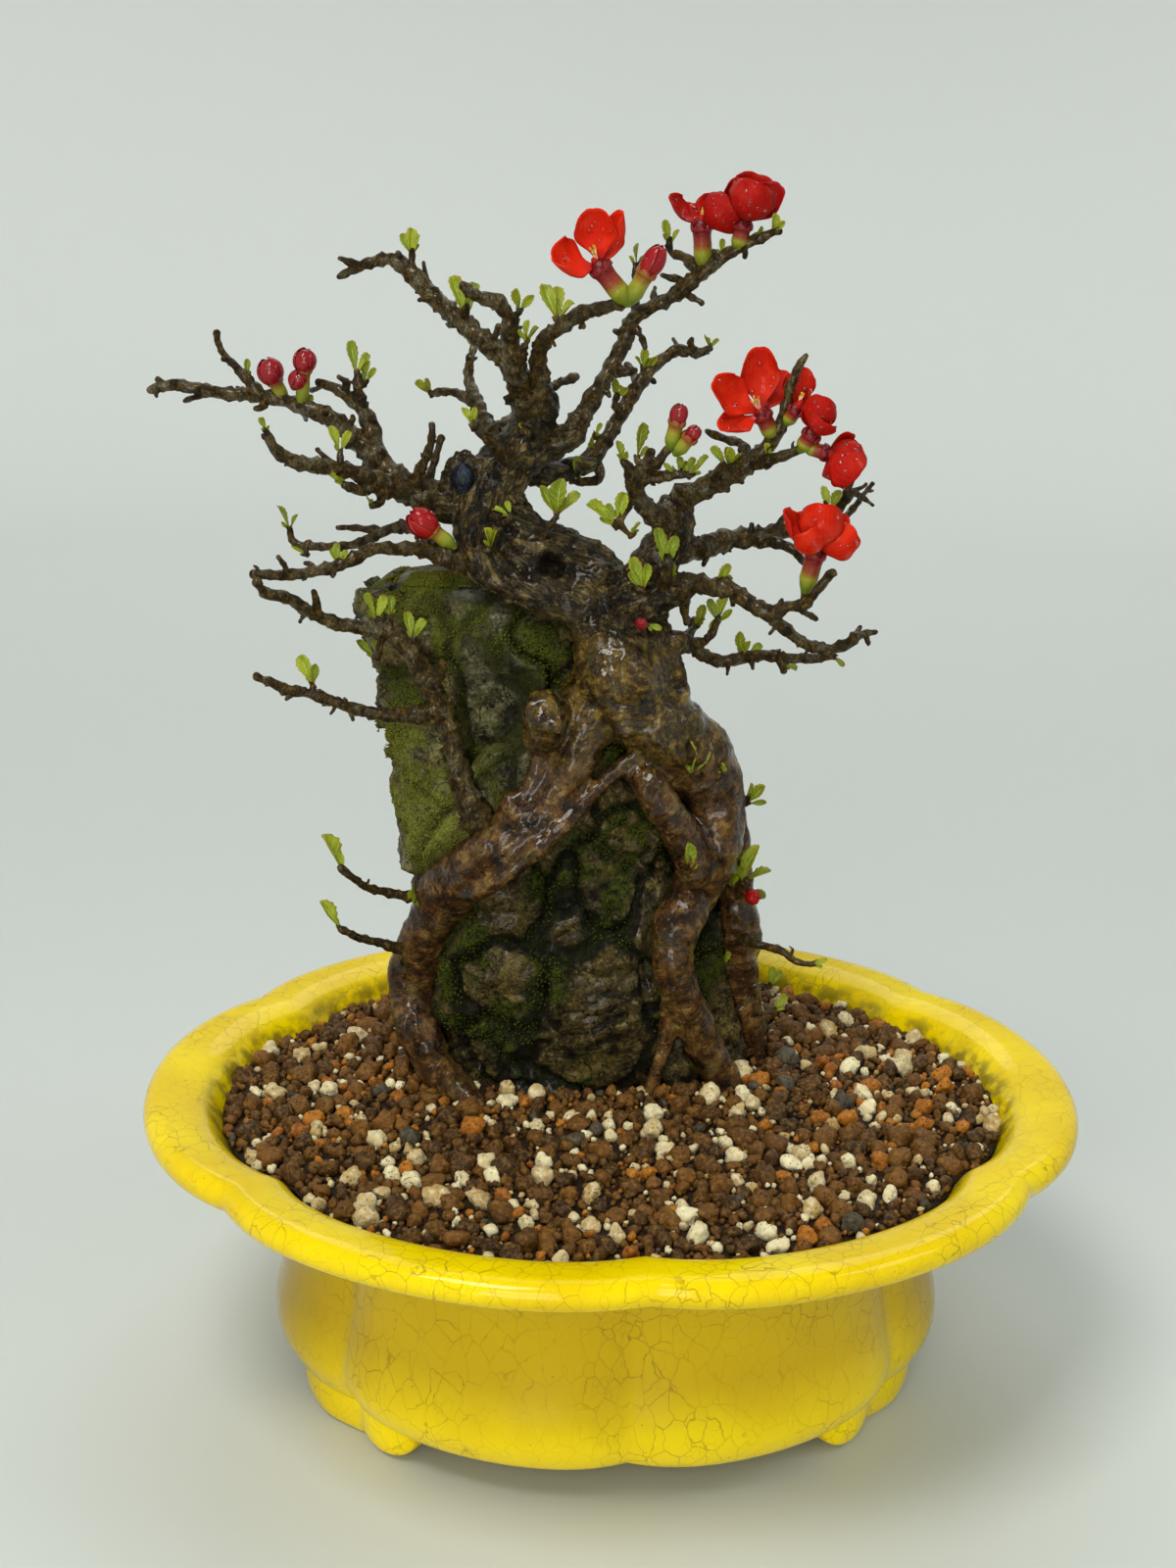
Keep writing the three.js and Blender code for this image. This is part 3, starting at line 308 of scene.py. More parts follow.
# A node's output. Sums and products of values add Math nodes.
class Socket:
    def __init__(self, finish, out):
        self.finish, self.out = finish, out

    def math(self, operation, first, second=None):
        inputs = {0: first} if second is None else {0: first, 1: second}
        return self.finish.node("ShaderNodeMath", {"operation": operation}, inputs)

    def __add__(self, other): return self.math("ADD", self, other)
    def __radd__(self, other): return self.math("ADD", other, self)
    def __sub__(self, other): return self.math("SUBTRACT", self, other)
    def __rsub__(self, other): return self.math("SUBTRACT", other, self)
    def __mul__(self, other): return self.math("MULTIPLY", self, other)
    def __rmul__(self, other): return self.math("MULTIPLY", other, self)
    def __truediv__(self, other): return self.math("DIVIDE", self, other)
    def __pow__(self, other): return self.math("POWER", self, other)
    def most(self, other): return self.math("MAXIMUM", self, other)
    def size(self): return self.math("ABSOLUTE", self)
    def wave(self): return self.math("SINE", self)

    # 0 below one value and 1 above another, which may be the smaller
    def rise(self, low, high):
        return self.finish.node("ShaderNodeMapRange", {"interpolation_type": "SMOOTHSTEP"},
                                {"Value": self, "From Min": low, "From Max": high})


# A procedural finish on one Principled shader
class Finish:
    def __init__(self, name, **fixed):
        self.material = bpy.data.materials.new(name)
        self.material.use_nodes = True
        self.tree = self.material.node_tree
        self.shader = self.tree.nodes["Principled BSDF"]
        self.shader.inputs["Specular IOR Level"].default_value = 0.3
        for key, value in fixed.items():
            self.shader.inputs[key.replace("_", " ")].default_value = value
        spot = self.node("ShaderNodeTexCoord", {}, {}, "Object")
        self.place = self.node("ShaderNodeVectorMath", {"operation": "SCALE"}, {"Vector": spot, "Scale": 1000.0},
                               "Vector")

    def node(self, kind, settings, inputs, output=None):
        made = self.tree.nodes.new(kind)
        for key, value in settings.items():
            if key == "stops":
                ramp = made.color_ramp
                while len(ramp.elements) < len(value):
                    ramp.elements.new(0.5)
                for element, (at, colour) in zip(ramp.elements, value):
                    element.position, element.color = at, paint(colour)
            else:
                setattr(made, key, value)
        for key, value in inputs.items():
            into = made.inputs[key] if isinstance(key, int) else next(
                s for s in made.inputs if s.name == key and s.enabled)
            if isinstance(value, Socket):
                self.tree.links.new(value.out, into)
            elif isinstance(value, str):
                into.default_value = paint(value)
            else:
                into.default_value = value
        outs = [s for s in made.outputs if s.enabled]
        return Socket(self, next(s for s in outs if s.name == output) if output else outs[0])

    def mark(self, key, output="Fac"):
        return self.node("ShaderNodeAttribute", {"attribute_name": key}, {}, output)

    def noise(self, size, detail=2.0, rough=0.5, at=None):
        return self.node("ShaderNodeTexNoise", {}, {"Vector": at or self.place, "Scale": 1 / size, "Detail": detail,
                                                    "Roughness": rough})

    def cells(self, size, feature="F1", at=None, output="Distance"):
        return self.node("ShaderNodeTexVoronoi", {"feature": feature},
                         {"Vector": at or self.place, "Scale": 1 / size}, output)

    # The place of each point, pushed about by noise of this size and stretched
    def pushed(self, size, much, stretch=(1, 1, 1)):
        push = self.node("ShaderNodeTexNoise", {}, {"Vector": self.place, "Scale": 1 / size}, "Color")
        moved = self.node("ShaderNodeVectorMath", {"operation": "MULTIPLY_ADD"},
                          {0: push, 1: (much,) * 3, 2: self.place}, "Vector")
        return self.node("ShaderNodeVectorMath", {"operation": "MULTIPLY"}, {0: moved, 1: stretch}, "Vector")

    def mix(self, share, a, b):
        return self.node("ShaderNodeMix", {"data_type": "RGBA", "clamp_factor": True},
                         {"Factor": share, "A": a, "B": b},
                         "Result")

    def ramp(self, value, *stops):
        return self.node("ShaderNodeValToRGB", {"stops": stops}, {0: value}, "Color")

    def height(self, height, depth, before=None):
        inputs = {"Height": height, "Distance": depth * 0.001, "Strength": 1.0}
        if before:
            inputs["Normal"] = before
        return self.node("ShaderNodeBump", {}, inputs, "Normal")

    def wear(self, **links):
        for key, value in links.items():
            into = self.shader.inputs[key.replace("_", " ")]
            if isinstance(value, Socket):
                self.tree.links.new(value.out, into)
            else:
                into.default_value = paint(value) if isinstance(value, str) else value
        return self.material


rockRows = [
    (1105, 424, 764, 26, 26), (1050, 412, 766, 26, 28), (990, 410, 752, 25, 28), (940, 418, 740, 24, 26),
    (890, 432, 730, 23, 24), (840, 414, 720, 22, 23), (790, 400, 712, 22, 22), (740, 390, 694, 22, 21),
    (700, 380, 660, 23, 20), (660, 364, 622, 24, 19), (630, 358, 604, 24, 18), (605, 364, 588, 24, 15),
    (591, 388, 560, 24, 10),
]
rootRoutes = [
    [(608, 716, 7.2, 4), (594, 758, 5, 0.6), (573, 798, 4.4), (552, 832, 4.5), (522, 854, 5), (490, 878, 5.4),
    (462, 906, 5.8), (441, 940, 5.6), (427, 975, 5.4), (421, 1010, 5.2), (427, 1050, 5, 5),
    (446, 1088, 4.4, 3), (480, 1124, 3.2, -5), (510, 1165, 2, -8)],
    [(558, 752, 3.2, -0.6), (551, 775, 2.1, -0.8), (542, 803, 1.9, -1.2), (528, 824, 3, -1), (508, 848, 2.6, -1)],
    [(666, 760, 2.4, 2), (650, 770, 1.9, 1), (626, 789, 1.75, 0), (596, 819, 1.7, -2), (570, 847, 1.8, -4.9),
     (541, 872, 1.9, -6.4), (508, 898, 2, -6.1), (478, 914, 2, -3)],
    [(650, 712, 8, 4), (674, 740, 8, 4), (700, 764, 8.6, 8), (722, 796, 7.6, 9), (732, 830, 6.4, 8),
    (728, 866, 5.6, 6), (711, 904, 5.4), (692, 944, 5.2), (686, 978, 5), (698, 1018, 4.6), (714, 1056, 4.4),
    (734, 1090, 4, 5), (752, 1140, 2.4, 6)],
    [(646, 782, 3, 3), (662, 800, 3.7, -0.5), (680, 826, 3.9, -0.6), (696, 856, 4.2, 1.5), (712, 884, 4.5, 3)],
    [(681, 1010, 1.7), (680, 1056, 1.7), (672, 1086, 1.6), (658, 1136, 1.4, 0)],
    [(730, 796, 4, 14), (744, 850, 4.2, 17), (750, 905, 4.4, 18), (754, 960, 4.6, 18), (758, 1012, 4.4, 19),
    (764, 1060, 3.4, 20), (776, 1120, 2.2, 20)],
]
backRootRoutes = [
    [(642, 664, 7, 9), (654, 680, 6.6, 24), (654, 700, 6.2, 36), (646, 740, 5.8), (630, 800, 5.4),
    (610, 880, 5), (594, 980, 4.8), (582, 1052, 3.8)],
    [(652, 704, 5.6, 38), (616, 756, 5.2), (556, 806, 4.8), (500, 856, 4.4), (460, 930, 4.2), (440, 1046, 3.4)],
]
trunkRoutes = [
    [(642, 724, 2, 7.6), (634, 694, 3, 9.6), (627, 655, 7, 9), (620, 622, 11, 9), (596, 594, 13, 8),
    (562, 570, 14, 7), (530, 550, 15, 6.8), (506, 524, 16, 6.8), (502, 498, 17, 6.4), (518, 474, 17, 5.8),
    (536, 452, 17, 5), (545, 428, 17, 4.4), (545, 404, 15, 4.2)],
    [(656, 636, 8, 5), (670, 672, 7, 5), (674, 706, 6, 5.6), (672, 736, 5, 6)],
    [(488, 505, 14, 4.6), (487, 545, 12, 4.8), (500, 578, 10, 4.8), (530, 596, 9, 4.4), (576, 610, 8, 4.8),
    (626, 626, 8, 6)],
    [(640, 612, 9, 5.4), (660, 586, 9, 4.8), (680, 560, 10, 4.4), (690, 538, 10, 3.9)],
    [(640, 622, 7, 5.6), (672, 606, 7, 4.4), (697, 599, 6, 3.1)],
    [(640, 642, 7, 5.6), (668, 652, 7, 3.4), (690, 655, 6, 2.2)],
    [(488, 516, 15, 4), (462, 516, 15, 3.7), (446, 511, 15, 3.3)],
    [(536, 462, 17, 4), (566, 452, 18, 3), (590, 440, 18, 2.2)],
    [(520, 480, 20, 3.6), (566, 482, 24, 2.6), (604, 472, 28, 1.9)],
]
burls = [
    (559, 739, -2.2, 6), (526, 824, -1.4, 3.4), (688, 534, 9, 4.4), (682, 694, 6, 3.8),
]
boughRoutes = {
    "bough_high_left": {
        "stems": [
            [(446, 511, 15, 3), (415, 497, 14, 2.8), (394, 480, 14, 2.6), (376, 460, 15, 2.3),
            (354, 440, 16, 2), (336, 426, 17, 1.8), (311, 416, 19, 1.6), (275, 405, 21, 1.4),
            (238, 402, 23, 1.25), (200, 396, 24, 1.2), (175, 393, 24, 1.1), (154, 398, 24, 0.9)],
            [(266, 404, 21, 1), (241, 375, 22, 0.8), (226, 358, 23, 0.7), (221, 340, 24, 0.6)],
            [(384, 470, 14, 1.8), (381, 444, 16, 1.6), (370, 418, 18, 1.4), (352, 402, 20, 1.2),
            (326, 390, 22, 0.9)],
            [(420, 500, 14, 1.2), (430, 478, 10, 1), (440, 450, 8, 0.8), (441, 434, 8, 0.7)],
            [(369, 417, 18, 1.1), (366, 400, 17, 1), (365, 382, 16, 0.8)],
        ],
        "calyxes": [(290, 408, 280, 388, 2.2), (308, 414, 310, 377, 2.1)],
    },
    "bough_left_fork": {
        "stems": [
            [(408, 496, 12, 2.2), (384, 490, 8, 1.8), (360, 481, 4, 1.5), (332, 476, 0, 1.4),
            (304, 472, -4, 1.3), (284, 462, -6, 1.1), (273, 445, -7, 0.8)],
            [(388, 492, 9, 1.3), (370, 499, 5, 1.2), (352, 495, 2, 0.9)],
            [(392, 494, 9, 1), (388, 512, 7, 0.9), (380, 516, 5, 0.7)],
        ],
    },
    "bough_middle_left": {
        "stems": [
            [(492, 566, 10, 2.6), (462, 571, 6, 2), (434, 562, 3, 1.5), (406, 560, 0, 1.3),
            (382, 560, -2, 1.25), (363, 569, -4, 1.2), (342, 578, -6, 1.1), (318, 584, -8, 1),
            (293, 587, -10, 1), (259, 586, -12, 0.9)],
            [(454, 567, 5, 1.7), (440, 548, 14, 1.5), (420, 537, 24, 1.3), (394, 541, 28, 1.1),
            (370, 553, 30, 1), (340, 558, 32, 0.9), (300, 553, 34, 0.8), (296, 540, 34, 0.7)],
        ],
        "calyxes": [(462, 557, 441, 541, 2.4)],
    },
    "bough_rock_left": {
        "stems": [
            [(489, 838, 1, 2.6), (474, 806, 1, 2.3), (466, 776, 1, 2.2), (459, 745, 1, 2.2), (450, 720, 1, 2.2),
            (434, 692, 2, 2.1), (420, 668, 2, 1.9), (405, 650, 1, 1.7), (379, 642, -1, 1.5),
            (350, 638, -3, 1.4), (328, 630, -5, 1.3), (311, 621, -7, 1.2), (293, 610, -9, 1.1),
            (272, 606, -11, 1), (262, 594, -14, 0.8)],
            [(452, 724, 1, 1.9), (432, 729, -1, 1.7), (400, 730, -4, 1.4), (370, 725, -7, 1.2),
            (340, 716, -10, 1.1), (318, 708, -12, 1), (290, 703, -13, 1), (262, 690, -15, 0.8)],
            [(324, 628, -6, 0.8), (322, 614, -6, 0.7), (320, 604, -7, 0.6)],
            [(436, 700, 1, 1.2), (448, 690, -3, 1), (452, 676, -5, 0.8)],
        ],
    },
    "bough_crown_left": {
        "stems": [
            [(543, 412, 18, 3), (536, 394, 19, 2.6), (526, 380, 18, 2.4), (514, 364, 19, 2.2),
            (494, 349, 20, 2), (468, 326, 23, 1.8), (446, 306, 25, 1.7), (428, 288, 27, 1.7),
            (414, 272, 28, 1.6), (396, 265, 29, 1.2), (370, 271, 30, 1), (347, 282, 31, 0.8)],
            [(420, 280, 28, 0.9), (420, 266, 27, 0.8), (421, 256, 27, 0.7)],
            [(468, 328, 23, 1), (474, 318, 20, 0.8), (476, 312, 19, 0.7)],
        ],
    },
    "bough_crown_front": {
        "stems": [
            [(538, 412, 13, 2.4), (526, 378, 9, 2), (521, 350, 7, 1.8), (520, 326, 5, 1.6), (508, 308, 3, 1.5),
            (488, 302, 2, 1.2), (473, 292, 1, 0.9)],
            [(524, 372, 9, 1.3), (532, 360, 5, 1), (535, 354, 3, 0.8)],
        ],
    },
    "bough_twin_flower": {
        "stems": [
            [(549, 412, 14, 2.4), (551, 384, 9, 2), (549, 362, 6, 1.8), (557, 345, 4, 1.7), (572, 334, 2, 1.6),
            (590, 321, 0, 1.6), (610, 316, -2, 1.5), (628, 311, -4, 1.3), (641, 308, -5, 1.1)],
        ],
        "calyxes": [(640, 308, 613, 274, 3), (642, 308, 660, 278, 2.6)],
    },
    "bough_top_right": {
        "stems": [
            [(584, 442, 18, 2.2), (600, 414, 20, 2), (621, 381, 22, 1.9), (633, 358, 23, 1.8),
            (640, 338, 23, 1.8), (650, 322, 22, 1.7), (668, 312, 21, 1.6), (693, 298, 20, 1.6),
            (710, 284, 19, 1.6), (728, 269, 18, 1.5), (756, 252, 17, 1.3), (778, 241, 16, 1.1),
            (794, 236, 15, 0.8)],
            [(714, 280, 19, 1.2), (698, 262, 22, 1), (684, 258, 24, 0.8), (683, 244, 24, 0.7)],
            [(644, 330, 22, 0.8), (655, 345, 18, 0.7), (658, 355, 16, 0.6)],
            [(626, 374, 22, 1.2), (638, 381, 18, 1), (648, 378, 15, 0.8)],
            [(648, 324, 22, 0.9), (648, 300, 26, 0.8), (648, 272, 28, 0.7)],
        ],
        "calyxes": [(718, 272, 716, 232, 2.8), (753, 254, 758, 230, 2.6)],
    },
    "bough_back_right": {
        "stems": [
            [(598, 474, 28, 1.9), (612, 458, 30, 1.8), (630, 430, 33, 1.7), (646, 402, 36, 1.6),
            (660, 382, 38, 1.5), (676, 366, 39, 1.4), (694, 357, 40, 1.3), (712, 360, 41, 1.1),
            (724, 356, 41, 0.9)],
            [(634, 424, 33, 1), (628, 412, 31, 0.8), (630, 402, 30, 0.7)],
            [(606, 466, 29, 1.1), (612, 488, 27, 1), (590, 492, 26, 0.8)],
            [(650, 398, 37, 1), (648, 384, 46, 0.9), (640, 372, 52, 0.7)],
        ],
    },
    "bough_bud_cluster": {
        "stems": [
            [(684, 530, 6, 2.6), (664, 524, 2, 2.1), (652, 508, -1, 1.8), (648, 492, -3, 1.7),
            (656, 488, -5, 1.4), (676, 486, -7, 1.2), (688, 484, -9, 1)],
            [(648, 494, -3, 1.4), (642, 478, -5, 1.1), (637, 472, -6, 0.9)],
            [(652, 490, -4, 1.5), (660, 474, -7, 1.4), (664, 462, -8, 1.1)],
            [(658, 487, -5, 1), (674, 468, -9, 0.9), (684, 456, -10, 0.8)],
            [(650, 504, -1, 1), (638, 520, -3, 0.9), (632, 534, -4, 0.7)],
        ],
        "calyxes": [(684, 456, 691, 430, 2.2), (690, 462, 704, 446, 2.2)],
    },
    "bough_long_right": {
        "stems": [
            [(692, 530, 10, 3), (696, 508, 9, 2.7), (716, 500, 7, 2.4), (738, 488, 5, 2.2), (760, 476, 3, 2),
            (776, 462, 1, 1.7), (792, 444, 0, 1.4), (801, 420, -1, 1.2), (806, 396, -2, 1),
            (814, 376, -3, 0.8), (822, 363, -3, 0.6)],
            [(772, 472, 2, 1.5), (792, 468, -1, 1.3), (808, 462, -4, 1.1), (820, 456, -6, 0.9)],
            [(762, 470, 3, 1.1), (757, 454, 6, 1), (740, 448, 9, 0.9), (722, 440, 11, 0.7)],
            [(728, 494, 6, 1), (732, 482, 2, 0.9), (738, 474, 0, 0.7)],
        ],
        "calyxes": [(789, 446, 778, 424, 2.6), (802, 432, 812, 418, 2.2), (818, 458, 828, 444, 2.6),
                    (822, 456, 842, 462, 2.2)],
    },
    "bough_lower_right": {
        "stems": [
            [(688, 556, 14, 3), (712, 560, 17, 2.4), (736, 552, 20, 2.4), (760, 549, 23, 2.3),
            (784, 545, 26, 1.9), (804, 541, 28, 1.6), (830, 534, 30, 1.3), (852, 522, 32, 1.2),
            (866, 508, 33, 1), (873, 500, 34, 0.8)],
            [(770, 550, 23, 1.5), (795, 555, 20, 1.2), (812, 564, 17, 1), (820, 574, 15, 0.8)],
            [(840, 530, 31, 1), (862, 527, 34, 0.9), (874, 514, 37, 0.8), (890, 494, 40, 0.6)],
            [(860, 512, 33, 0.8), (866, 498, 31, 0.7), (873, 484, 30, 0.6)],
        ],
    },
    "bough_flower_right": {
        "stems": [
            [(694, 600, 6, 2.6), (709, 595, 4, 2), (728, 599, 1, 1.9), (746, 602, -1, 1.9), (764, 616, -3, 1.8),
            (784, 626, -5, 1.7), (798, 638, -4, 1.3), (814, 652, -3, 1.2), (832, 661, -2, 1.2),
            (850, 662, 0, 1.2), (866, 655, 1, 1.3), (880, 647, 2, 1), (893, 645, 2, 0.7)],
            [(786, 627, -5, 1.4), (804, 619, -8, 1.2), (822, 616, -10, 1.1), (834, 602, -12, 1),
            (844, 590, -13, 0.9), (850, 584, -13, 0.8)],
            [(822, 614, -10, 0.9), (821, 606, -9, 0.9), (822, 600, -9, 1)],
        ],
        "calyxes": [(822, 602, 832, 566, 2.8)],
    },
    "bough_low_right": {
        "stems": [
            [(686, 656, 7, 2), (706, 659, 10, 1.6), (720, 670, 13, 1.5), (738, 675, 15, 1.4),
            (760, 671, 17, 1.3), (784, 669, 19, 1.3), (808, 672, 21, 1.2), (834, 671, 23, 1.1),
            (848, 669, 24, 1)],
            [(704, 658, 10, 1.1), (722, 652, 8, 0.9), (729, 640, 7, 0.8), (733, 630, 6, 0.7)],
            [(794, 670, 20, 0.9), (797, 680, 18, 0.8), (800, 684, 18, 0.7)],
            [(700, 656, 9, 1), (706, 640, 14, 0.9), (708, 632, 16, 0.7)],
        ],
    },
    "bough_rear": {
        "stems": [
            [(530, 470, 22, 2.4), (520, 452, 32, 2), (500, 436, 42, 1.7), (486, 410, 50, 1.4),
            (478, 380, 56, 1.1), (484, 352, 60, 0.8)],
            [(508, 442, 38, 1.3), (530, 420, 46, 1.1), (560, 396, 52, 1), (588, 384, 58, 0.8)],
            [(486, 412, 50, 1), (462, 400, 54, 0.9), (440, 402, 58, 0.7)],
        ],
    },
}
shootRoutes = {
    "stems": [
        [(440, 918, 5, 1.2), (404, 912, 2, 0.9), (376, 906, -2, 0.8), (358, 894, -5, 0.8), (348, 886, -6, 0.7)],
        [(416, 970, 8, 1.1), (390, 963, 4, 0.9), (366, 957, 1, 0.8), (348, 948, -1, 0.7)],
        [(752, 956, 16, 1.4), (768, 962, 11, 1), (796, 970, 9, 0.9), (816, 982, 8, 0.8), (828, 984, 8, 0.7)],
        [(740, 816, 16, 1.2), (754, 815, 15, 1), (762, 816, 14, 0.8)],
        [(748, 918, 17, 1.6), (758, 906, 13, 1.1), (762, 898, 12, 0.9)],
        [(520, 470, 12, 1.3), (508, 456, 8, 1.1), (494, 444, 5, 0.8), (484, 431, 4, 0.6)],
        [(675, 602, 6, 1.5), (681, 582, 1, 1), (681, 568, 0, 0.9)],
    ],
}
pot = {"halfLength": 99.05, "halfDepth": 87.75, "notches": (34, 90, 146, 214, 270, 326), "dip": 3.6,
       "dipWidth": 7.5,
       "floor": 14, "base": 7, "around": 276, "footFrom": 9, "footTo": 50, "footInset": 35.5, "footHalf": 4.6,
       "drainRadius": 8, "drainX": 24,
       "section": [(35.5, 7), (31.8, 8.3), (29.2, 11), (27, 15.5), (26.8, 20), (28.2, 26.5), (29.5, 34), (29.2, 43),
                   (26.6, 50), (23.2, 54.6), (18, 58), (12.4, 60.2), (7.2, 61), (3.2, 61.4), (0.9, 62.6),
                   (0.1, 64.6), (0.7, 66.6), (2.6, 67.7), (5.6, 67.75), (9.3, 67.35), (12.1, 66.3), (14, 64.6),
                   (15.3, 62.6), (17.5, 59.6), (22, 55.5), (27, 52), (30, 48.5), (32.2, 40), (33.2, 28), (34.2, 19),
                   (37, 15)]}


# A place on the pot's six-lobed outline
def outline(degrees, inset, height):
    away = min(abs((degrees - notch + 540) % 360 - 180) for notch in pot["notches"])
    dip = pot["dip"] * math.exp(-(away / pot["dipWidth"]) ** 1.15)
    angle = math.radians(degrees)
    return ((pot["halfLength"] - inset - dip) * math.cos(angle), (pot["halfDepth"] - inset - dip) * math.sin(angle),
            height)


def lobedRing(inset, height, count):
    return np.array([outline(360 * k / count, inset, height) for k in range(count)])


# Faces between rings that all have the same count of points
def ringFaces(rings, count, closed=True):
    index = np.arange(rings * count).reshape(rings, count)
    turned = np.roll(index, -1, axis=1)
    faces = [np.stack([index[:-1], turned[:-1], turned[1:], index[1:]], axis=-1).reshape(-1, 4)]
    if closed:
        start = rings * count
        faces.append(np.stack([np.full(count, start), turned[0], index[0]], axis=-1))
        faces.append(np.stack([np.full(count, start + 1), index[-1], turned[-1]], axis=-1))
    return faces


def makePot():
    rows, _ = spine([(inset, height, 0, 1) for inset, height in pot["section"]], 1.16)
    count = pot["around"]
    rings = [lobedRing(inset, height, count) for inset, height in rows[:, :2]]
    inner = [lobedRing(37 + 62 * share, pot["floor"], count) for share in (0.1, 0.3, 0.6)]  # across the floor
    under = [lobedRing(35.5 + 63.5 * share, pot["base"], count) for share in (0.6, 0.3, 0.1)]  # across the base
    allRings = np.array(under + rings + inner)
    wall = Growth()
    ends = np.array([[0, 0, pot["base"]], [0, 0, pot["floor"]]])
    insets = np.concatenate([[40] * 3, rows[:, 0], [40] * 3])
    inside = np.concatenate([[0] * 3, (np.arange(len(rows)) > np.argmax(rows[:, 1])) * 1.0, [1] * 3])
    wall.add(np.vstack([allRings.reshape(-1, 3), ends]), ringFaces(len(allRings), count),
             inset=np.concatenate([np.repeat(insets, count), [40, 40]]),
             inside=np.concatenate([np.repeat(inside, count), [0, 1]]))
    made = wall.piece("lobed_pot", [glaze()], "glaze", ["pot"])
    tools = []
    for begin, way in ((pot["footFrom"], 1), (180 + pot["footFrom"], 1), (180 - pot["footFrom"], -1),
                       (360 - pot["footFrom"], -1)):
        foot, steps = Growth(), 40
        profile, _ = spine([(-1.06, 9.8, 0, 1), (-1.1, 7, 0, 1), (-0.92, 2.4, 0, 1), (-0.66, 0.5, 0, 1),
                            (-0.42, 0, 0, 1),
                            (0.42, 0, 0, 1), (0.6, 0.3, 0, 1), (0.84, 1.6, 0, 1), (0.98, 4.6, 0, 1),
                            (0.98, 9.6, 0, 1)], 0.2)
        rings = []
        for k in range(steps + 1):
            share = k / steps
            half = pot["footHalf"] * (0.02 + 0.98 * (1 - abs(2 * share - 1) ** 4.5) ** 0.5)
            half *= 1 - 0.16 * math.exp(-((share - 0.5) / 0.1) ** 2)  # the cloud's middle notch
            at = begin + way * (pot["footTo"] - pot["footFrom"]) * share
            lift = 1 - (1 - abs(2 * share - 1) ** 5) ** 0.5  # its ends curl up to the base
            rings.append([outline(at, pot["footInset"] + half * x, z + (9.6 - z) * lift * 0.86) for x,
                          z in profile[:, :2]])
        rings = np.array(rings)
        middle = rings[[0, -1]].mean(axis=1)
        foot.add(np.vstack([rings.reshape(-1, 3), middle]), ringFaces(len(rings), rings.shape[1]), inset=40,
                 inside=0)
        tools.append((foot.piece(f"foot_{len(tools)}", [], "glaze"), "UNION"))
    for side in (-1, 1):
        hole = Growth()
        rings = [[(side * pot["drainX"] + (pot["drainRadius"] + grow) * math.cos(a),
                   (pot["drainRadius"] + grow) * math.sin(a), z)
                  for a in np.linspace(0, 2 * math.pi, 48, endpoint=False)]
                 for grow, z in ((1.2, 4), (1.2, 6.6), (0.3, 7.6), (0, 8.6), (0, 13), (0.8, 14.1), (0.8, 17))]
        ends = [[side * pot["drainX"], 0, 4], [side * pot["drainX"], 0, 17]]
        hole.add(np.vstack([np.array(rings).reshape(-1, 3), ends]), ringFaces(len(rings), 48), inset=40, inside=0)
        tools.append((hole.piece(f"hole_{len(tools)}", [], "glaze"), "DIFFERENCE"))
    for tool, operation in tools:
        cut = made.modifiers.new("cut", "BOOLEAN")
        cut.object, cut.operation, cut.solver = tool, operation, "MANIFOLD"
    applyAll(made)
    for tool, _ in tools:
        bpy.data.objects.remove(tool)
    made.data.polygons.foreach_set("use_smooth", [True] * len(made.data.polygons))
    made.data.set_sharp_from_angle(angle=math.radians(38))
    report("pot", made)


# Yellow crackle glaze: a fine net of dark crazing, iron specks, and dirt where the soil was watered, with painted
# shade on the outer wall and a painted highlight low on the belly
def glaze():
    f = Finish("yellow_crackle_glaze", Coat_Weight=0.22, Coat_Roughness=0.02, IOR=1.5, Specular_IOR_Level=0.1)
    inset, inside = f.mark("inset"), f.mark("inside")
    coat = f.mix(f.noise(22, 3).rise(0.35, 0.7), "#d8b800", "#e6cb00")
    coat = f.mix(f.noise(3.4, 3).rise(0.55, 0.8) * 0.3, coat, "#ecd80c")
    tall = f.node("ShaderNodeSeparateXYZ", {}, {0: f.place}, "Z")
    wall = inset.rise(20, 26) * (1 - inside)
    # painted shade on the upper wall under the lip, and a painted highlight low on the belly where it catches the
    # light
    coat = f.mix(wall * 0.8 * tall.rise(18, 30), coat, "#bd9c00")
    coat = f.mix(wall * 0.8 * tall.rise(22, 10), coat, "#ffe000")
    ends = f.node("ShaderNodeSeparateXYZ", {}, {0: f.place}, "X").size().rise(48, 80)
    coat = f.mix(wall * ends * 0.85, coat, "#937400")  # painted shade: the wall is painted darker towards the ends, where it turns from the light
    wide = f.cells(4.6, "DISTANCE_TO_EDGE", f.pushed(4, 2.6, (1.2, 1.2, 0.72))).rise(0.028, 0.005)
    fine = f.cells(2.1, "DISTANCE_TO_EDGE", f.pushed(3, 1.6, (1.2, 1.2, 0.7))).rise(0.036, 0.006)
    where = f.noise(17, 3).rise(0.4, 0.62)
    net = (wide * (0.22 + 0.5 * where)).most(fine * where * f.noise(7, 2).rise(0.42, 0.6) * 0.45)
    coat = f.mix(net * 0.8, coat, "#746004")
    speck = f.cells(2.2, at=f.pushed(2, 1)).rise(0.11, 0.05) * f.noise(5, 1).rise(0.54, 0.64)
    coat = f.mix(speck * 0.7, coat, "#4f3c0c")
    edge = inset.rise(11.5, 15) * inside * f.noise(4, 3).rise(0.38, 0.62)
    coat = f.mix(edge * 0.75, coat, "#5a4f12")
    return f.wear(Base_Color=coat, Roughness=0.1 + 0.08 * f.noise(14, 2) + 0.5 * edge,
                  Normal=f.height(f.noise(9, 2) * 0.6 - net * 0.25 - speck * 0.3, 0.16))


makePot()

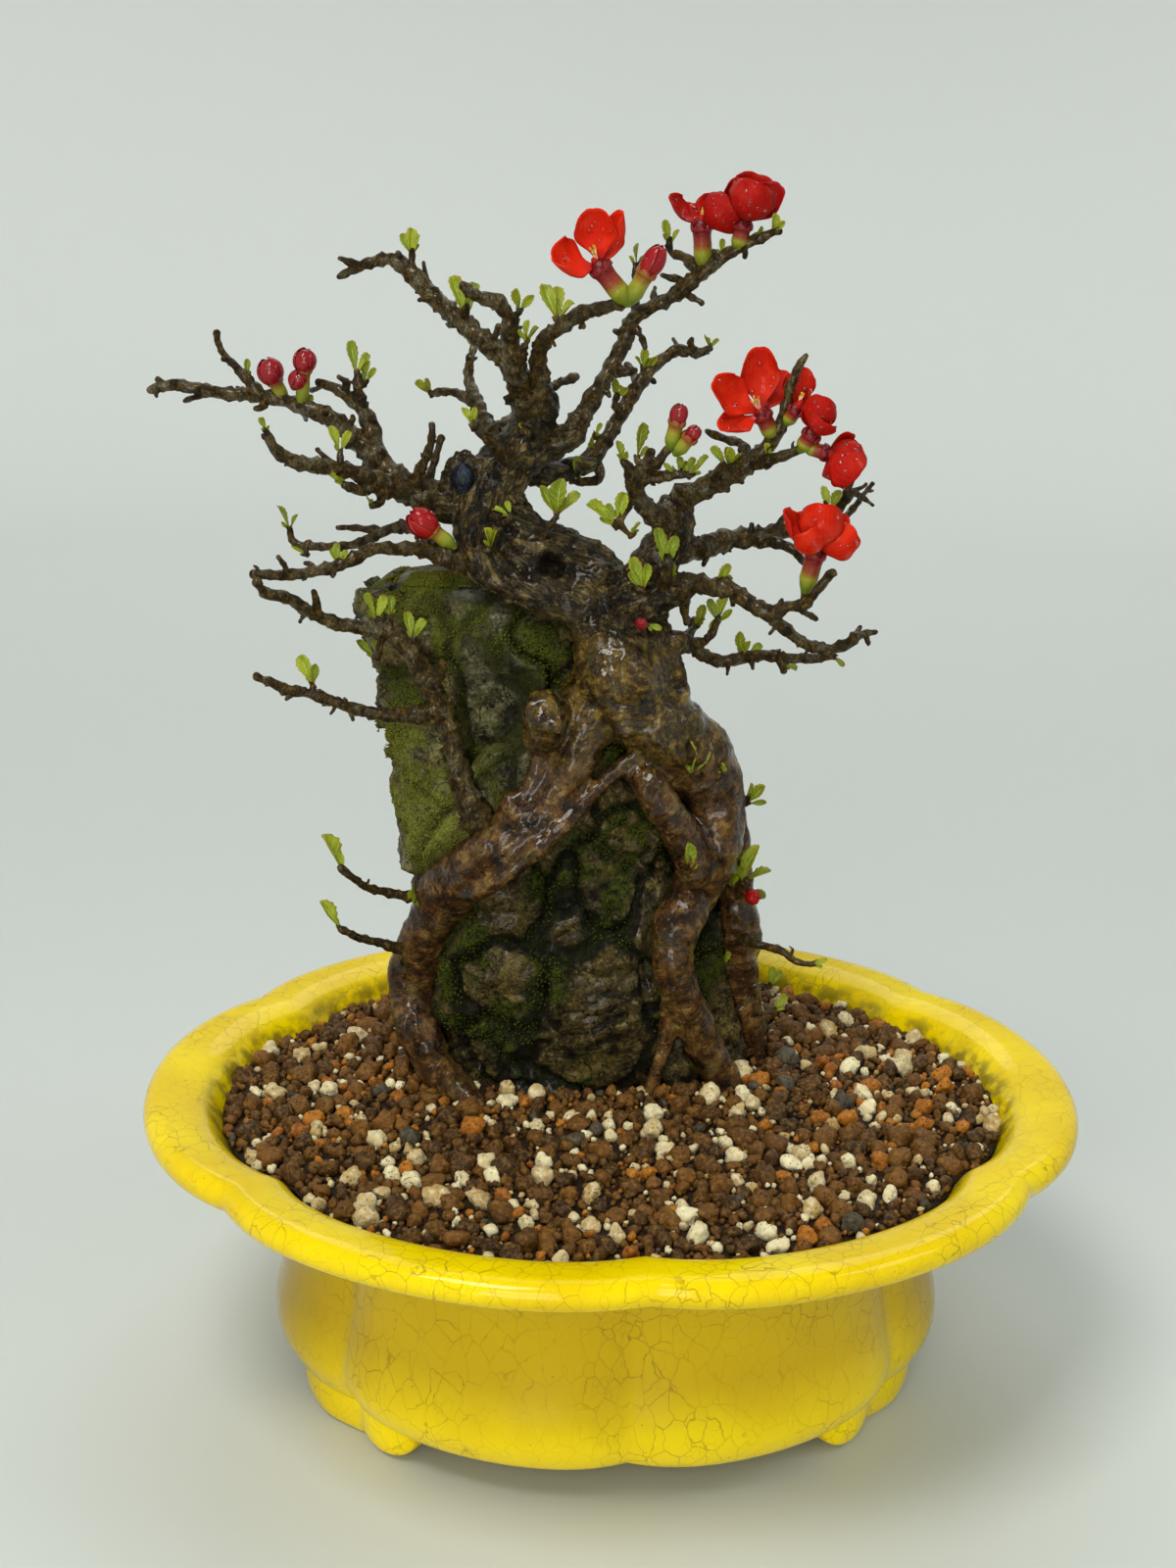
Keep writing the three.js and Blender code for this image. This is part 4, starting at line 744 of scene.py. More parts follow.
rockForm = {"corner": 2.3, "perMm": 4.7, "foot": 48, "around": 320, "rise": 0.66, "lump": 2.2, "ledge": 2.4,
            "crack": 2.0, "pit": 0.4, "grain": 0.4,
            "facet": 4.0, "facetSmall": 1.3, "layer": 0.5,
            "slabs": [(500, 612, 34), (512, 680, 40), (508, 750, 40), (500, 800, 24), (556, 612, 22),
                      (550, 720, 20)],
            # mossy places in the view: across, down, radius, how pale
            "moss": [(430, 622, 46, 0.4), (398, 596, 26, 0.6), (470, 600, 40, 0.3), (548, 660, 34, 0.1),
                     (440, 700, 34, 0.2),
                     (428, 790, 44, 0.8), (448, 850, 34, 1), (408, 742, 26, 0.7), (610, 770, 26, 0),
                     (596, 836, 36, 0), (650, 846, 30, 0), (700, 820, 22, 0), (556, 770, 24, 0.2),
                     (486, 950, 40, 0), (476, 1020, 44, 0), (500, 1060, 30, 0), (560, 900, 26, 0),
                     (640, 930, 36, 0), (556, 1000, 26, 0), (665, 870, 26, 0), (600, 1090, 26, 0),
                     (720, 1000, 30, 0), (760, 900, 22, 0), (575, 690, 26, 0.1), (500, 640, 30, 0.3)]}


def rockLevels():
    levels = []
    for row, left, right, middle, deep in rockRows:
        a, b = sightline(left, row, middle), sightline(right, row, middle)
        levels.append(((a[2] + b[2]) / 2, (a[0] + b[0]) / 2, middle, (b[0] - a[0]) / 2, deep))
    return np.array(levels)


levels = rockLevels()


def rockAt(height):
    return [np.interp(height, levels[:, 0], levels[:, k]) for k in range(1, 5)]


# Below 1 where a place lies in the rock, or in the rock let out by some more
def inRock(x, y, height, more=0):
    middle, back, wide, deep = rockAt(height)
    corner = rockForm["corner"]
    return abs((x - middle) / (wide + more)) ** corner + abs((y - back) / (deep + more)) ** corner


# Depth of the rock's near or far face along a line of sight
def rockFace(across, down, far=False):
    depths = 75 - np.arange(200) / 2 if far else np.arange(200) / 2 - 25
    for depth in depths:
        if inRock(*sightline(across, down, depth)) < 1:
            return depth
    return rockAt(sightline(across, down, 25)[2])[1]


def onRock(route, far=False):
    rows = []
    for across, down, radius, *depth in route:
        lies = depth[0] if depth else rockFace(across, down, far) - radius * (-0.3 if far else 0.3)
        rows.append((*seen(across, down, lies), radius))
    return rows


def free(route):
    return [(*seen(across, down, depth), radius) for across, down, depth, radius in route]


rootPaths = [onRock(route) for route in rootRoutes] + [onRock(route, True) for route in backRootRoutes]
trunkPaths = [free(route) for route in trunkRoutes]
allWood = np.vstack([spine(path, 1.0)[0] for path in rootPaths + trunkPaths])
woodTree = placeTree(allWood)


# How far points lie from the surface of the trunk and roots
def woodGap(points):
    gaps = []
    for point in points:
        _, k, away = woodTree.find(point)
        gaps.append(away - allWood[k, 3])
    return np.array(gaps)


# From 0 to 1, how near points lie to a spot of the rock's face that is so many pixels wide
def nearSpot(spots, across, down, radius):
    middle = sightline(across, down, rockFace(across, down))
    return np.exp(-(np.linalg.norm((spots - middle) * [1, 0.6, 1], axis=1) / (radius / rockForm["perMm"])) ** 2)


def makeRock():
    top = levels[-1, 0]
    heights = np.arange(rockForm["foot"], top, rockForm["rise"])
    profile = [(shrink, rockForm["foot"]) for shrink in (0.02, 0.3, 0.6, 0.82)]
    profile += [(0.86 + 0.14 * smooth(0, 6, z - rockForm["foot"]), z) for z in heights]
    profile += [(math.cos(a) ** 0.8, top + 2.2 * math.sin(a)) for a in np.linspace(0.06, 1.5, 22)]
    angle = np.linspace(0, 2 * math.pi, rockForm["around"], endpoint=False)
    cos, sin = np.cos(angle), np.sin(angle)
    c, s = np.sign(cos) * np.abs(cos) ** 0.85, np.sign(sin) * np.abs(sin) ** 0.85
    rings = []
    for shrink, z in profile:
        x, y, wide, deep = rockAt(z)
        rings.append(np.stack([x + wide * shrink * c, y + deep * shrink * s, np.full(len(angle), z)], axis=1))
    grid = np.array(rings)
    over = np.roll(grid, -1, axis=1) - np.roll(grid, 1, axis=1)
    normal = np.cross(over, np.gradient(grid, axis=0))
    normal /= np.linalg.norm(normal, axis=2)[..., None] + 1e-9
    spots = grid.reshape(-1, 3)
    gap = woodGap(spots @ toPot).reshape(grid.shape[:2])
    warped = spots + np.stack([cloud(spots, 9, k) for k in (1, 2, 3)], axis=1) * 3.2
    _, edge, own, slope = lumps(warped * [1, 1, 0.72], 18, 4)
    _, edgeSmall, ownSmall, slopeSmall = lumps(warped, 7.5, 40)
    first = lumps(spots, 2.6, 77)[0]
    relief = rockForm["lump"] * rough(spots, 24, 3, 5) + rockForm["ledge"] * (own - 0.5) + 0.9 * (ownSmall - 0.5)
    relief += rockForm["facet"] * slope + rockForm["facetSmall"] * slopeSmall
    layers = np.array([-0.42, 0.1, 0.9])  # the stone splits along thin leaning layers
    slab = np.zeros(len(spots))
    for across, down, radius in rockForm["slabs"]:
        slab += nearSpot(spots, across, down, radius)
    slab = np.clip(slab * (1 + 0.5 * rough(spots, 8, 2, 71)), 0, 1)
    moss, pale = np.zeros(len(spots)), np.zeros(len(spots))
    for across, down, radius, light in rockForm["moss"]:
        near = nearSpot(spots, across, down, radius)
        moss += near
        pale += near * light
    pale /= moss + 1e-6
    split = rough(spots * 0.3 + np.outer(spots @ layers, layers), 2.3, 3, 21)
    fine = rockForm["layer"] * split + rockForm["grain"] * rough(spots, 2.4, 3, 12)
    fine -= 0.5 * np.exp(-(cloud(spots * 0.4 + np.outer(spots @ layers, layers), 4.2, 23) / 0.07) ** 2)
    fine -= 0.5 * np.exp(-(cloud(warped, 7, 24) / 0.035) ** 2) + 0.35 * np.exp(-(edgeSmall / 0.05) ** 2)
    fine -= rockForm["pit"] * (1 - smooth(0.1, 0.34, first)) * (rough(spots, 14, 2, 9) > 0)
    fine *= (1 - 0.65 * slab) * (1 - 0.6 * np.minimum(moss, 1))  # smooth on the slab, softened by moss
    relief += fine - rockForm["crack"] * np.exp(-(edge / 0.07) ** 2)
    relief *= 1 - 0.6 * smooth(top - 9, top + 1, spots[:, 2])  # a calmer crown
    relief = relief.reshape(grid.shape[:2])
    clear = smooth(0.2, 4, gap)
    relief = np.where(relief > 0, relief * clear, relief) - 0.5 * (1 - smooth(0, 2, gap))
    fade = np.array([min(1, shrink / 0.5) for shrink, _ in profile])[:, None]
    grid = grid + normal * (relief * fade)[..., None]
    shown = grid.reshape(-1, 3)
    # the far side is mossy in patches too
    behind = smooth(0.1, 0.7, rough(shown, 22, 2, 61)) * (shown[:, 1] > levels[4, 2] - 6)
    moss = np.maximum(moss, behind * 0.9)
    moss *= (0.5 + 0.8 * rough(shown, 6, 3, 33)) * (1 - 0.8 * slab)
    moss += (0.35 * smooth(0.12, 0.02, edge)
             + 0.35 * smooth(2.6, 0.4, gap.ravel()) * smooth(-0.2, 0.5, rough(shown, 9, 2, 3)))
    stone = Growth()
    ends = np.array([grid[0].mean(axis=0), grid[-1].mean(axis=0)])

    def pad(values):  # with a value for each of the two end points
        return np.concatenate([np.asarray(values).ravel(), [0, 0]])

    # hollow is how deep a point lies in a pit or crack, below 0 where it stands out; the finish paints shade in the
    # deep places and a highlight on the raised ones
    stone.add(np.vstack([shown, ends]) @ toPot, ringFaces(len(grid), grid.shape[1]), moss=pad(np.clip(moss, 0, 1)),
              pale=pad(pale), slab=pad(slab), own=pad(own),
              hollow=pad(np.clip(-fine * 0.8 + 0.9 * np.exp(-(edge / 0.08) ** 2), -1, 1)))
    made = stone.piece("craggy_rock", [rockStone()], "rock", ["rock"])
    tufts(shown @ toPot, (normal.reshape(-1, 3)) @ toPot, np.clip(moss, 0, 1), pale, gap.ravel())
    report("rock", made)


mossForm = {"count": 13000, "least": 0.45, "above": 63, "tall": (0.3, 0.9), "wide": (0.26, 0.5)}


# Little cushions of moss on the rock, thickest where it is wet
def tufts(spots, normals, moss, pale, gap):
    draw = np.random.default_rng(11)
    chosen = np.flatnonzero((moss > mossForm["least"]) & (spots[:, 2] > mossForm["above"]) & (gap > 0.3))
    chosen = draw.permutation(chosen)[:mossForm["count"]]
    cushions = Growth()
    angle = np.array([0, 2.1, 4.2])
    for k in chosen:
        normal = unit(normals[k] + [0, 0, 0.35])
        side, other = twoAcross(normal, draw.normal(size=3))
        tall, wide = draw.uniform(*mossForm["tall"]) * (0.4 + 0.6 * moss[k]), draw.uniform(*mossForm["wide"])
        middle = spots[k] + side * draw.normal() * 0.25 + other * draw.normal() * 0.25 - normal * 0.15
        ring = middle + wide * (np.cos(angle)[:, None] * side + np.sin(angle)[:, None] * other)
        tip = middle + normal * tall + side * draw.normal() * 0.2 + other * draw.normal() * 0.2
        cushions.add(np.vstack([ring, tip]), [[(0, 2, 1), (0, 1, 3), (1, 2, 3), (2, 0, 3)]],
                     tone=[0.35, 0.35, 0.35, 0.4 + 0.6 * draw.random()], pale=pale[k])
    made = cushions.piece("rock_moss", [mossFinish()], "rock")
    report("moss", made)


def rockStone():
    f = Finish("wet_dark_stone", IOR=1.5, Coat_Roughness=0.16, Specular_IOR_Level=0.18)
    moss, pale, hollow = f.mark("moss"), f.mark("pale"), f.mark("hollow")
    grain = f.noise(1.6, 5, 0.62)
    stone = f.ramp(f.noise(9, 5, 0.6), (0.3, "#1a1202"), (0.46, "#3a2e0b"), (0.6, "#5a4b1b"), (0.76, "#807138"))
    stone = f.mix(f.mark("own").rise(0.3, 0.9) * 0.32, stone, "#5a4e2c")
    stone = f.mix(f.noise(17, 2).rise(0.5, 0.66) * 0.4, stone, "#3c2608")
    stone = f.mix(grain.rise(0.5, 0.7) * 0.5, stone, "#857a50")
    grit = f.noise(0.8, 4, 0.7)
    stone = f.mix(f.mark("slab").rise(0.15, 0.6) * 0.85, stone, f.mix(grain.rise(0.36, 0.64), "#27260f", "#626045"))
    stone = f.mix(grit.rise(0.46, 0.36) * 0.6, stone, "#0a0700")
    stone = f.mix(grit.rise(0.58, 0.68) * 0.4, stone, "#9a9064")
    # painted shade in the pits and cracks, and a painted highlight on the raised grain
    stone = f.mix(hollow.rise(0.06, 0.6) * 0.9, stone, "#060400")
    stone = f.mix(hollow.rise(-0.1, -0.7) * 0.4, stone, "#857a4c")
    stone = f.mix(pale * 0.6 * f.noise(5, 4).rise(0.35, 0.6), stone, "#918d56")
    green = f.mix(f.noise(1.4, 5, 0.66).rise(0.36, 0.62), "#121901", "#424b09")
    # the moss is painted darker in the hollows, as shade
    green = f.mix(hollow.rise(0.1, 0.6) * 0.8, green, "#080b00")
    green = f.mix(pale * 0.7, green, "#85873a")
    cover = moss.rise(0.16, 0.44) * f.noise(2.2, 5, 0.66).rise(0.34, 0.48)
    # hairline cracks, wide and fine
    seam = (f.noise(6, 4, 0.6) - 0.5).size().rise(0.022, 0) + (f.noise(2, 4, 0.62) - 0.5).size().rise(0.03, 0) * 0.5
    stone = f.mix(seam * 0.7, stone, "#050300")
    wet = f.noise(11, 3).rise(0.42, 0.58) * (1 - cover)
    bumps = f.height(f.noise(0.7, 5, 0.7) * 0.7 + grain - seam * 0.6, 0.8,
                     f.height((1 - f.cells(0.8)) * cover, 0.5))
    return f.wear(Base_Color=f.mix(cover, stone, green), Roughness=0.66 - 0.26 * wet + 0.24 * cover,
                  Coat_Weight=0.22 * wet, Normal=bumps)


def mossFinish():
    f = Finish("moss", Roughness=0.85, Specular_IOR_Level=0.1, Subsurface_Weight=0.1, Subsurface_Scale=0.001)
    tone, pale = f.mark("tone"), f.mark("pale")
    green = f.mix(tone, "#151d02", "#48530b")
    green = f.mix(pale * 0.65, green, "#7f8330")
    return f.wear(Base_Color=f.mix(f.noise(7, 2).rise(0.4, 0.7) * 0.4, green, "#575210"))


makeRock()

soil = {"inset": 16.3, "edge": 62.3, "rise": 3.2, "around": 150, "rings": 44, "lumps": 14,
        # radius from, radius to, how many are tried, how close they may lie, sides of the lump
        "sizes": [(1.8, 2.9, 1500, 0.8, 3), (1.05, 1.7, 9000, 0.78, 2), (0.6, 0.95, 12000, 0.7, 1)]}
section = [(37, 14), (33.5, 22), (30, 50), (22, 56.5)]  # inset and height up the pot's inner wall
# Each kind of grain: its finish, dark, middle and light, its pits, its roughness and the size of its mottle
grains = {"clay": ("baked_clay_grains", "#281706", "#6c4413", "#98702f", "#120901", 0.62),
          "pumice": ("pumice_grains", "#a8843c", "#e4d7a8", "#faf4d8", "#5c3f14", 0.72, 1.4),
          "rust": ("rusty_grains", "#7c400a", "#ad6a18", "#cc9238", "#432206", 0.66),
          "stone": ("grey_grains", "#292319", "#4e4634", "#746850", "#14100a", 0.5)}


# Height of the soil under its loose grains
def soilHeight(x, y):
    inner = (pot["halfLength"] - soil["inset"], pot["halfDepth"] - soil["inset"])
    share = np.minimum(np.hypot(np.asarray(x) / inner[0], np.asarray(y) / inner[1]), 1)
    return soil["edge"] + soil["rise"] * (1 - share) ** 0.8


# The rotation that four random numbers give
def spinOf(turned):
    w, x, y, z = turned / np.linalg.norm(turned)
    return np.array(Matrix(((1 - 2 * (y ** 2 + z ** 2), 2 * (x * y - z * w), 2 * (x * z + y * w)),
                            (2 * (x * y + z * w), 1 - 2 * (x ** 2 + z ** 2), 2 * (y * z - x * w)),
                            (2 * (x * z - y * w), 2 * (y * z + x * w), 1 - 2 * (x ** 2 + y ** 2)))))


def makeSoil():
    bed, count = Growth(), soil["around"]
    rings = [lobedRing(inset + 0.35, height + (0.35 if height == 14 else 0), count) for inset, height in section]
    edge = lobedRing(soil["inset"], soil["edge"], count)
    for share in np.linspace(1, 0.02, soil["rings"]):
        ring = edge * [share, share, 1]
        ring[:, 2] = soilHeight(ring[:, 0], ring[:, 1]) - 0.5 + 0.5 * rough(ring, 2.4, 2, 8)
        rings.append(ring)
    rings = np.array(rings)
    bed.add(np.vstack([rings.reshape(-1, 3), [[0, 0, 14.35], rings[-1].mean(axis=0)]]),
            ringFaces(len(rings), count))
    # the bed between the grains is dark wet earth, painted darker still as the shade in the gaps between grains
    ground = bed.piece("soil_bed", [grainFinish("wet_earth_and_painted_shade", "#1f1205", "#342008", "#4c310f", "#0c0601", 0.8)],
                       "soil", ["soil"])
    draw = np.random.default_rng(5)
    spots = np.zeros((0, 4))
    kinds = {name: Growth() for name in grains}
    shapes = {level: [lumpShape(level, seed) for seed in range(soil["lumps"])] for level in (1, 2, 3)}
    tilt = toPot.T
    for low, high, tries, close, level in soil["sizes"]:
        for _ in range(tries):
            angle, share, radius = draw.uniform(0, 360), draw.random() ** 0.5, draw.uniform(low, high)
            x, y, _ = outline(angle, soil["inset"] + 0.55 * radius, 0)
            x, y = x * share, y * share
            z = float(soilHeight(x, y)) + radius * draw.uniform(0.02, 0.34)
            kind, turned, squash = draw.random(), draw.normal(size=4), draw.uniform(0.62, 1.06, 3)
            plant = np.array([x, y, z]) @ tilt
            if inRock(plant[0], plant[1], z, radius * 0.4) < 1:
                continue
            if len(spots):
                gap = np.linalg.norm(spots[:, :3] - [x, y, z], axis=1)
                if (gap < close * (spots[:, 3] + radius)).any():
                    continue
            _, k, away = woodTree.find((x, y, z))
            if away < allWood[k, 3] + 0.5 * radius:
                continue
            spots = np.vstack([spots, [x, y, z, radius]])
            points, faces = shapes[level][int(draw.integers(soil["lumps"]))]
            pumiceShare = 0.17 + 0.05 * (y < -20)  # more of it towards the front
            name = ("pumice" if kind < pumiceShare else "rust" if kind < 0.28
                    else "stone" if kind < 0.3 else "clay")
            kinds[name].add((points * squash * radius) @ spinOf(turned) + [x, y, z], [faces], tone=draw.random())
    made = [kinds[name].piece(f"soil_{name}", [grainFinish(*look)], "soil") for name, look in grains.items()]
    report(f"soil with {len(spots)} grains", ground, *made)


# One grain: a ball of triangles, knocked out of round
def lumpShape(level, seed):
    ball = bmesh.new()
    bmesh.ops.create_icosphere(ball, subdivisions=level, radius=1)
    points = np.array([vert.co[:] for vert in ball.verts])
    faces = np.array([[vert.index for vert in face.verts] for face in ball.faces])
    ball.free()
    _, _, own, _ = lumps(points + seed * 7.3, 0.95, seed)
    size = 1 + 0.3 * rough(points + seed * 3.1, 1.0, 2, seed) + 0.3 * (own - 0.5)
    if level > 1:
        size += 0.12 * rough(points + seed, 0.42, 2, seed + 5)
    return points * size[:, None], faces


def grainFinish(name, dark, middle, light, pit, roughness, size=0.9):
    f = Finish(name, IOR=1.45)
    tone = f.mark("tone")
    body = f.mix(tone, dark, middle)
    body = f.mix(f.noise(size, 4, 0.6).rise(0.4, 0.75) * 0.55, body, light)
    holes = f.cells(0.75, at=f.pushed(1, 0.6)).rise(0.32, 0.1) * f.noise(2.2, 2).rise(0.4, 0.6)
    body = f.mix(holes * 0.7, body, pit)
    return f.wear(Base_Color=body, Roughness=roughness - 0.22 * f.noise(6, 2).rise(0.45, 0.6),
                  Normal=f.height(f.noise(0.5, 4, 0.65) - 1.2 * holes, 0.34))


makeSoil()

trunkForm = {"voxel": 0.62, "band": (625, 643, 7), "base": (640, 745, 0), "hollow": (562, 577, 8),
             "hollowWide": 2.1, "cut": (473, 498), "cutWide": (17, 27), "lumps": 14, "lumpRadius": 1.9,
             "wrinkle": 0.2, "barkDeep": 0.6}


def makeTrunk():
    wood = Growth()
    for k, path in enumerate(rootPaths + trunkPaths):
        points, faces, _ = stemShape(path, 1.4, 16, k, knobs=0)
        wood.add(points, faces)
    ball, ballFaces = lumpShape(3, 2)
    for across, down, depth, radius in burls:
        middle = seen(across, down, rockFace(across, down) - radius * 0.3 if depth is None else depth)
        wood.add(ball * radius * 0.96 + middle, [ballFaces])
    low, high = (np.array(corner) * 1000 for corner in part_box("wound_seal_left"))
    depth = ((low + high) / 2 @ toPot.T)[1]
    (across, down), (wide, tall) = trunkForm["cut"], trunkForm["cutWide"]
    for turn in np.linspace(0, 2 * math.pi, trunkForm["lumps"], endpoint=False):  # bark heaped round the pasted cut
        middle = seen(across + wide * math.cos(turn), down + tall * math.sin(turn), depth + 0.6)
        wood.add(ball * trunkForm["lumpRadius"] + middle, [ballFaces])
    made = wood.piece("trunk_and_clasping_roots", [trunkBark()], "bark", ["trunk_and_roots"])
    skin = made.modifiers.new("skin", "REMESH")
    skin.mode, skin.voxel_size = "VOXEL", trunkForm["voxel"] * 0.001
    soften = made.modifiers.new("soften", "SMOOTH")
    soften.factor, soften.iterations = 0.55, 3
    applyAll(made)
    mesh = made.data
    spots, normals = np.zeros(len(mesh.vertices) * 3), np.zeros(len(mesh.vertices) * 3)
    mesh.vertices.foreach_get("co", spots)
    mesh.vertices.foreach_get("normal", normals)
    spots, normals = spots.reshape(-1, 3) * 1000, normals.reshape(-1, 3)
    # how far along its nearest stem each point lies
    rows = [spine(path, 0.8) for path in rootPaths + trunkPaths]
    path = np.vstack([row for row, _ in rows])
    run = np.concatenate([marks + 40 * k for k, (_, marks) in enumerate(rows)])
    along = np.vstack([framesAlong(row[:, :3])[0] for row, _ in rows])
    tree = placeTree(path)
    nearest = np.array([tree.find(spot)[1] for spot in spots])
    reach = run[nearest] + np.einsum("ij,ij->i", spots - path[nearest, :3], along[nearest])
    thick = path[nearest, 3]
    band, base = seen(*trunkForm["band"])[2], seen(*trunkForm["base"])[2]
    height = spots[:, 2] + 1.2 * cloud(spots, 6, 3)
    old = smooth(band - 1.5, band + 1.5, height)
    foot = smooth(base - 16, base + 4, height) * (1 - old)
    out = (spots - path[nearest, :3]
           - along[nearest] * np.einsum("ij,ij->i", spots - path[nearest, :3], along[nearest])[:, None])
    run = (reach[:, None] * np.array([0.6, 0.5, 0.62])
           + 0.7 * np.stack([cloud(spots, 4, k) for k in (4, 5, 6)], axis=1))
    lengthwise, crosswise = out + run * 0.32, out * 0.28 + run  # noise stretched along a limb, and around it
    furrow = (np.exp(-(cloud(lengthwise, 3.0, 31) / 0.08) ** 2)
              + 0.6 * np.exp(-(cloud(lengthwise, 1.5, 32) / 0.12) ** 2))
    cross = np.exp(-(cloud(crosswise, 3.6, 33) / 0.1) ** 2)
    ringed = (0.4 - np.exp(-(cloud(crosswise, 1.9, 34) / 0.16) ** 2)
              - 0.6 * np.exp(-(cloud(crosswise, 1.1, 35) / 0.2) ** 2))
    broad = np.minimum(thick, 6) / 6 * 0.7 * rough(spots, 8, 2, 1)
    broad += (0.4 * cloud(np.stack([reach * 0.2, spots[:, 0], spots[:, 1]], axis=1), 2.6, 21)
              * np.minimum(thick, 5) / 5)
    relief = (trunkForm["wrinkle"] * (0.5 + 0.6 * foot) * ringed * (1 - 0.8 * old)
              * smooth(-0.7, 0.1, cloud(spots, 6, 8)))
    relief += (1 - old) * 0.28 * rough(spots, 2.2, 3, 41)
    relief += old * (0.5 * rough(spots, 2.6, 3, 31) + 0.3 - trunkForm["barkDeep"] * (furrow + 0.6 * cross))
    relief -= 0.13 * (1 - old) * furrow
    # dark marks the low places of the relief, for painted shade, and high the raised ones, for a painted highlight
    dark, high = np.clip(-1.7 * relief - 0.1, 0, 1), np.clip(1.6 * relief, 0, 1)
    relief += broad
    pit = np.linalg.norm((spots - seen(*trunkForm["hollow"])) * [1, 0.55, 1], axis=1) / trunkForm["hollowWide"]
    relief += 1.1 * np.exp(-((pit - 1.5) / 0.5) ** 2) - 3.0 * np.exp(-pit ** 2)
    relief *= np.minimum(1, thick / 2.4)
    spots = spots + normals * relief[:, None]
    mesh.vertices.foreach_set("co", (spots * 0.001).ravel())
    # the trunk's hollow is painted dark, as its shadow
    dark = dark + 1.5 * np.exp(-(pit / 1.1) ** 2)
    for key, values in (("old", old), ("foot", foot), ("dark", dark), ("high", high)):
        mesh.attributes.new(key, "FLOAT", "POINT").data.foreach_set("value", values.astype(np.float32))
    for key, places in (("cross", crosswise), ("length", lengthwise)):
        mesh.attributes.new(key, "FLOAT_VECTOR", "POINT").data.foreach_set("vector",
                                                                           places.astype(np.float32).ravel())
    mesh.update()
    mesh.polygons.foreach_set("use_smooth", [True] * len(mesh.polygons))
    report("trunk and roots", made)


def trunkBark():
    f = Finish("trunk_and_root_bark", IOR=1.5, Coat_Roughness=0.1, Specular_IOR_Level=0.14)
    old, foot, dark, high = (f.mark(key) for key in ("old", "foot", "dark", "high"))
    grain = f.noise(1.1, 5, 0.62)
    root = f.ramp(f.noise(4, 5, 0.6), (0.34, "#1d0e03"), (0.48, "#4d2f10"), (0.6, "#785526"), (0.74, "#ad8d50"))
    base = f.ramp(f.noise(2.6, 5, 0.6), (0.34, "#1c1104"), (0.48, "#503b10"), (0.6, "#775e22"), (0.74, "#ab9048"))
    bark = f.ramp(f.noise(3, 5, 0.62), (0.3, "#110c04"), (0.46, "#30260f"), (0.6, "#514222"), (0.76, "#7b6b42"))
    coat = f.mix(foot, root, base)
    coat = f.mix(old, coat, bark)
    # painted highlight on the raised bark
    coat = f.mix(high.rise(0.15, 0.9) * 0.4, coat, "#8a733f")
    pores = f.cells(1.3, at=f.pushed(2, 1, (1, 1, 1.6))).rise(0.2, 0.1) * f.noise(4, 2).rise(0.45, 0.6)
    coat = f.mix(pores * 0.55, coat, "#a28e60")
    lichen = f.noise(4.2, 4, 0.6).rise(0.58, 0.72) * old * 0.45
    coat = f.mix(lichen, coat, "#74744a")
    green = f.noise(8, 4, 0.6).rise(0.56, 0.68) * (1 - old) * 0.6
    coat = f.mix(green * 0.8, coat, "#363d0a")
    # painted shade in the low places of the bark and in the trunk's hollow
    coat = f.mix(dark.rise(0.08, 0.7) * 0.88, coat, "#0d0702")
    wet = (1 - old * 0.6) * f.noise(7, 3).rise(0.34, 0.56)
    # thin folds round the roots, thin splits along the old bark
    fold = (f.noise(1.3, 4, 0.6, at=f.mark("cross", "Vector"))
            - 0.5).size().rise(0.07, 0) * (1 - old) * f.noise(6, 2).rise(0.36, 0.6)
    split = (f.noise(1.5, 4, 0.62, at=f.mark("length", "Vector")) - 0.5).size().rise(0.1, 0) * (0.3 + 0.7 * old)
    grit = f.noise(0.9, 4, 0.7)
    coat = f.mix(grit.rise(0.45, 0.35) * 0.55, coat, "#100902")
    coat = f.mix(grit.rise(0.58, 0.68) * 0.35, coat, "#b49d62")
    coat = f.mix(fold * 0.7, coat, "#0c0601")
    coat = f.mix(split * 0.8, coat, "#0a0501")
    bumps = f.height(grain + 0.5 * f.noise(0.5, 3, 0.7), 0.7, f.height(0 - fold - 1.5 * split, 0.34))
    return f.wear(Base_Color=coat, Roughness=0.56 - 0.3 * wet, Coat_Weight=0.55 * wet, Normal=bumps)


makeTrunk()

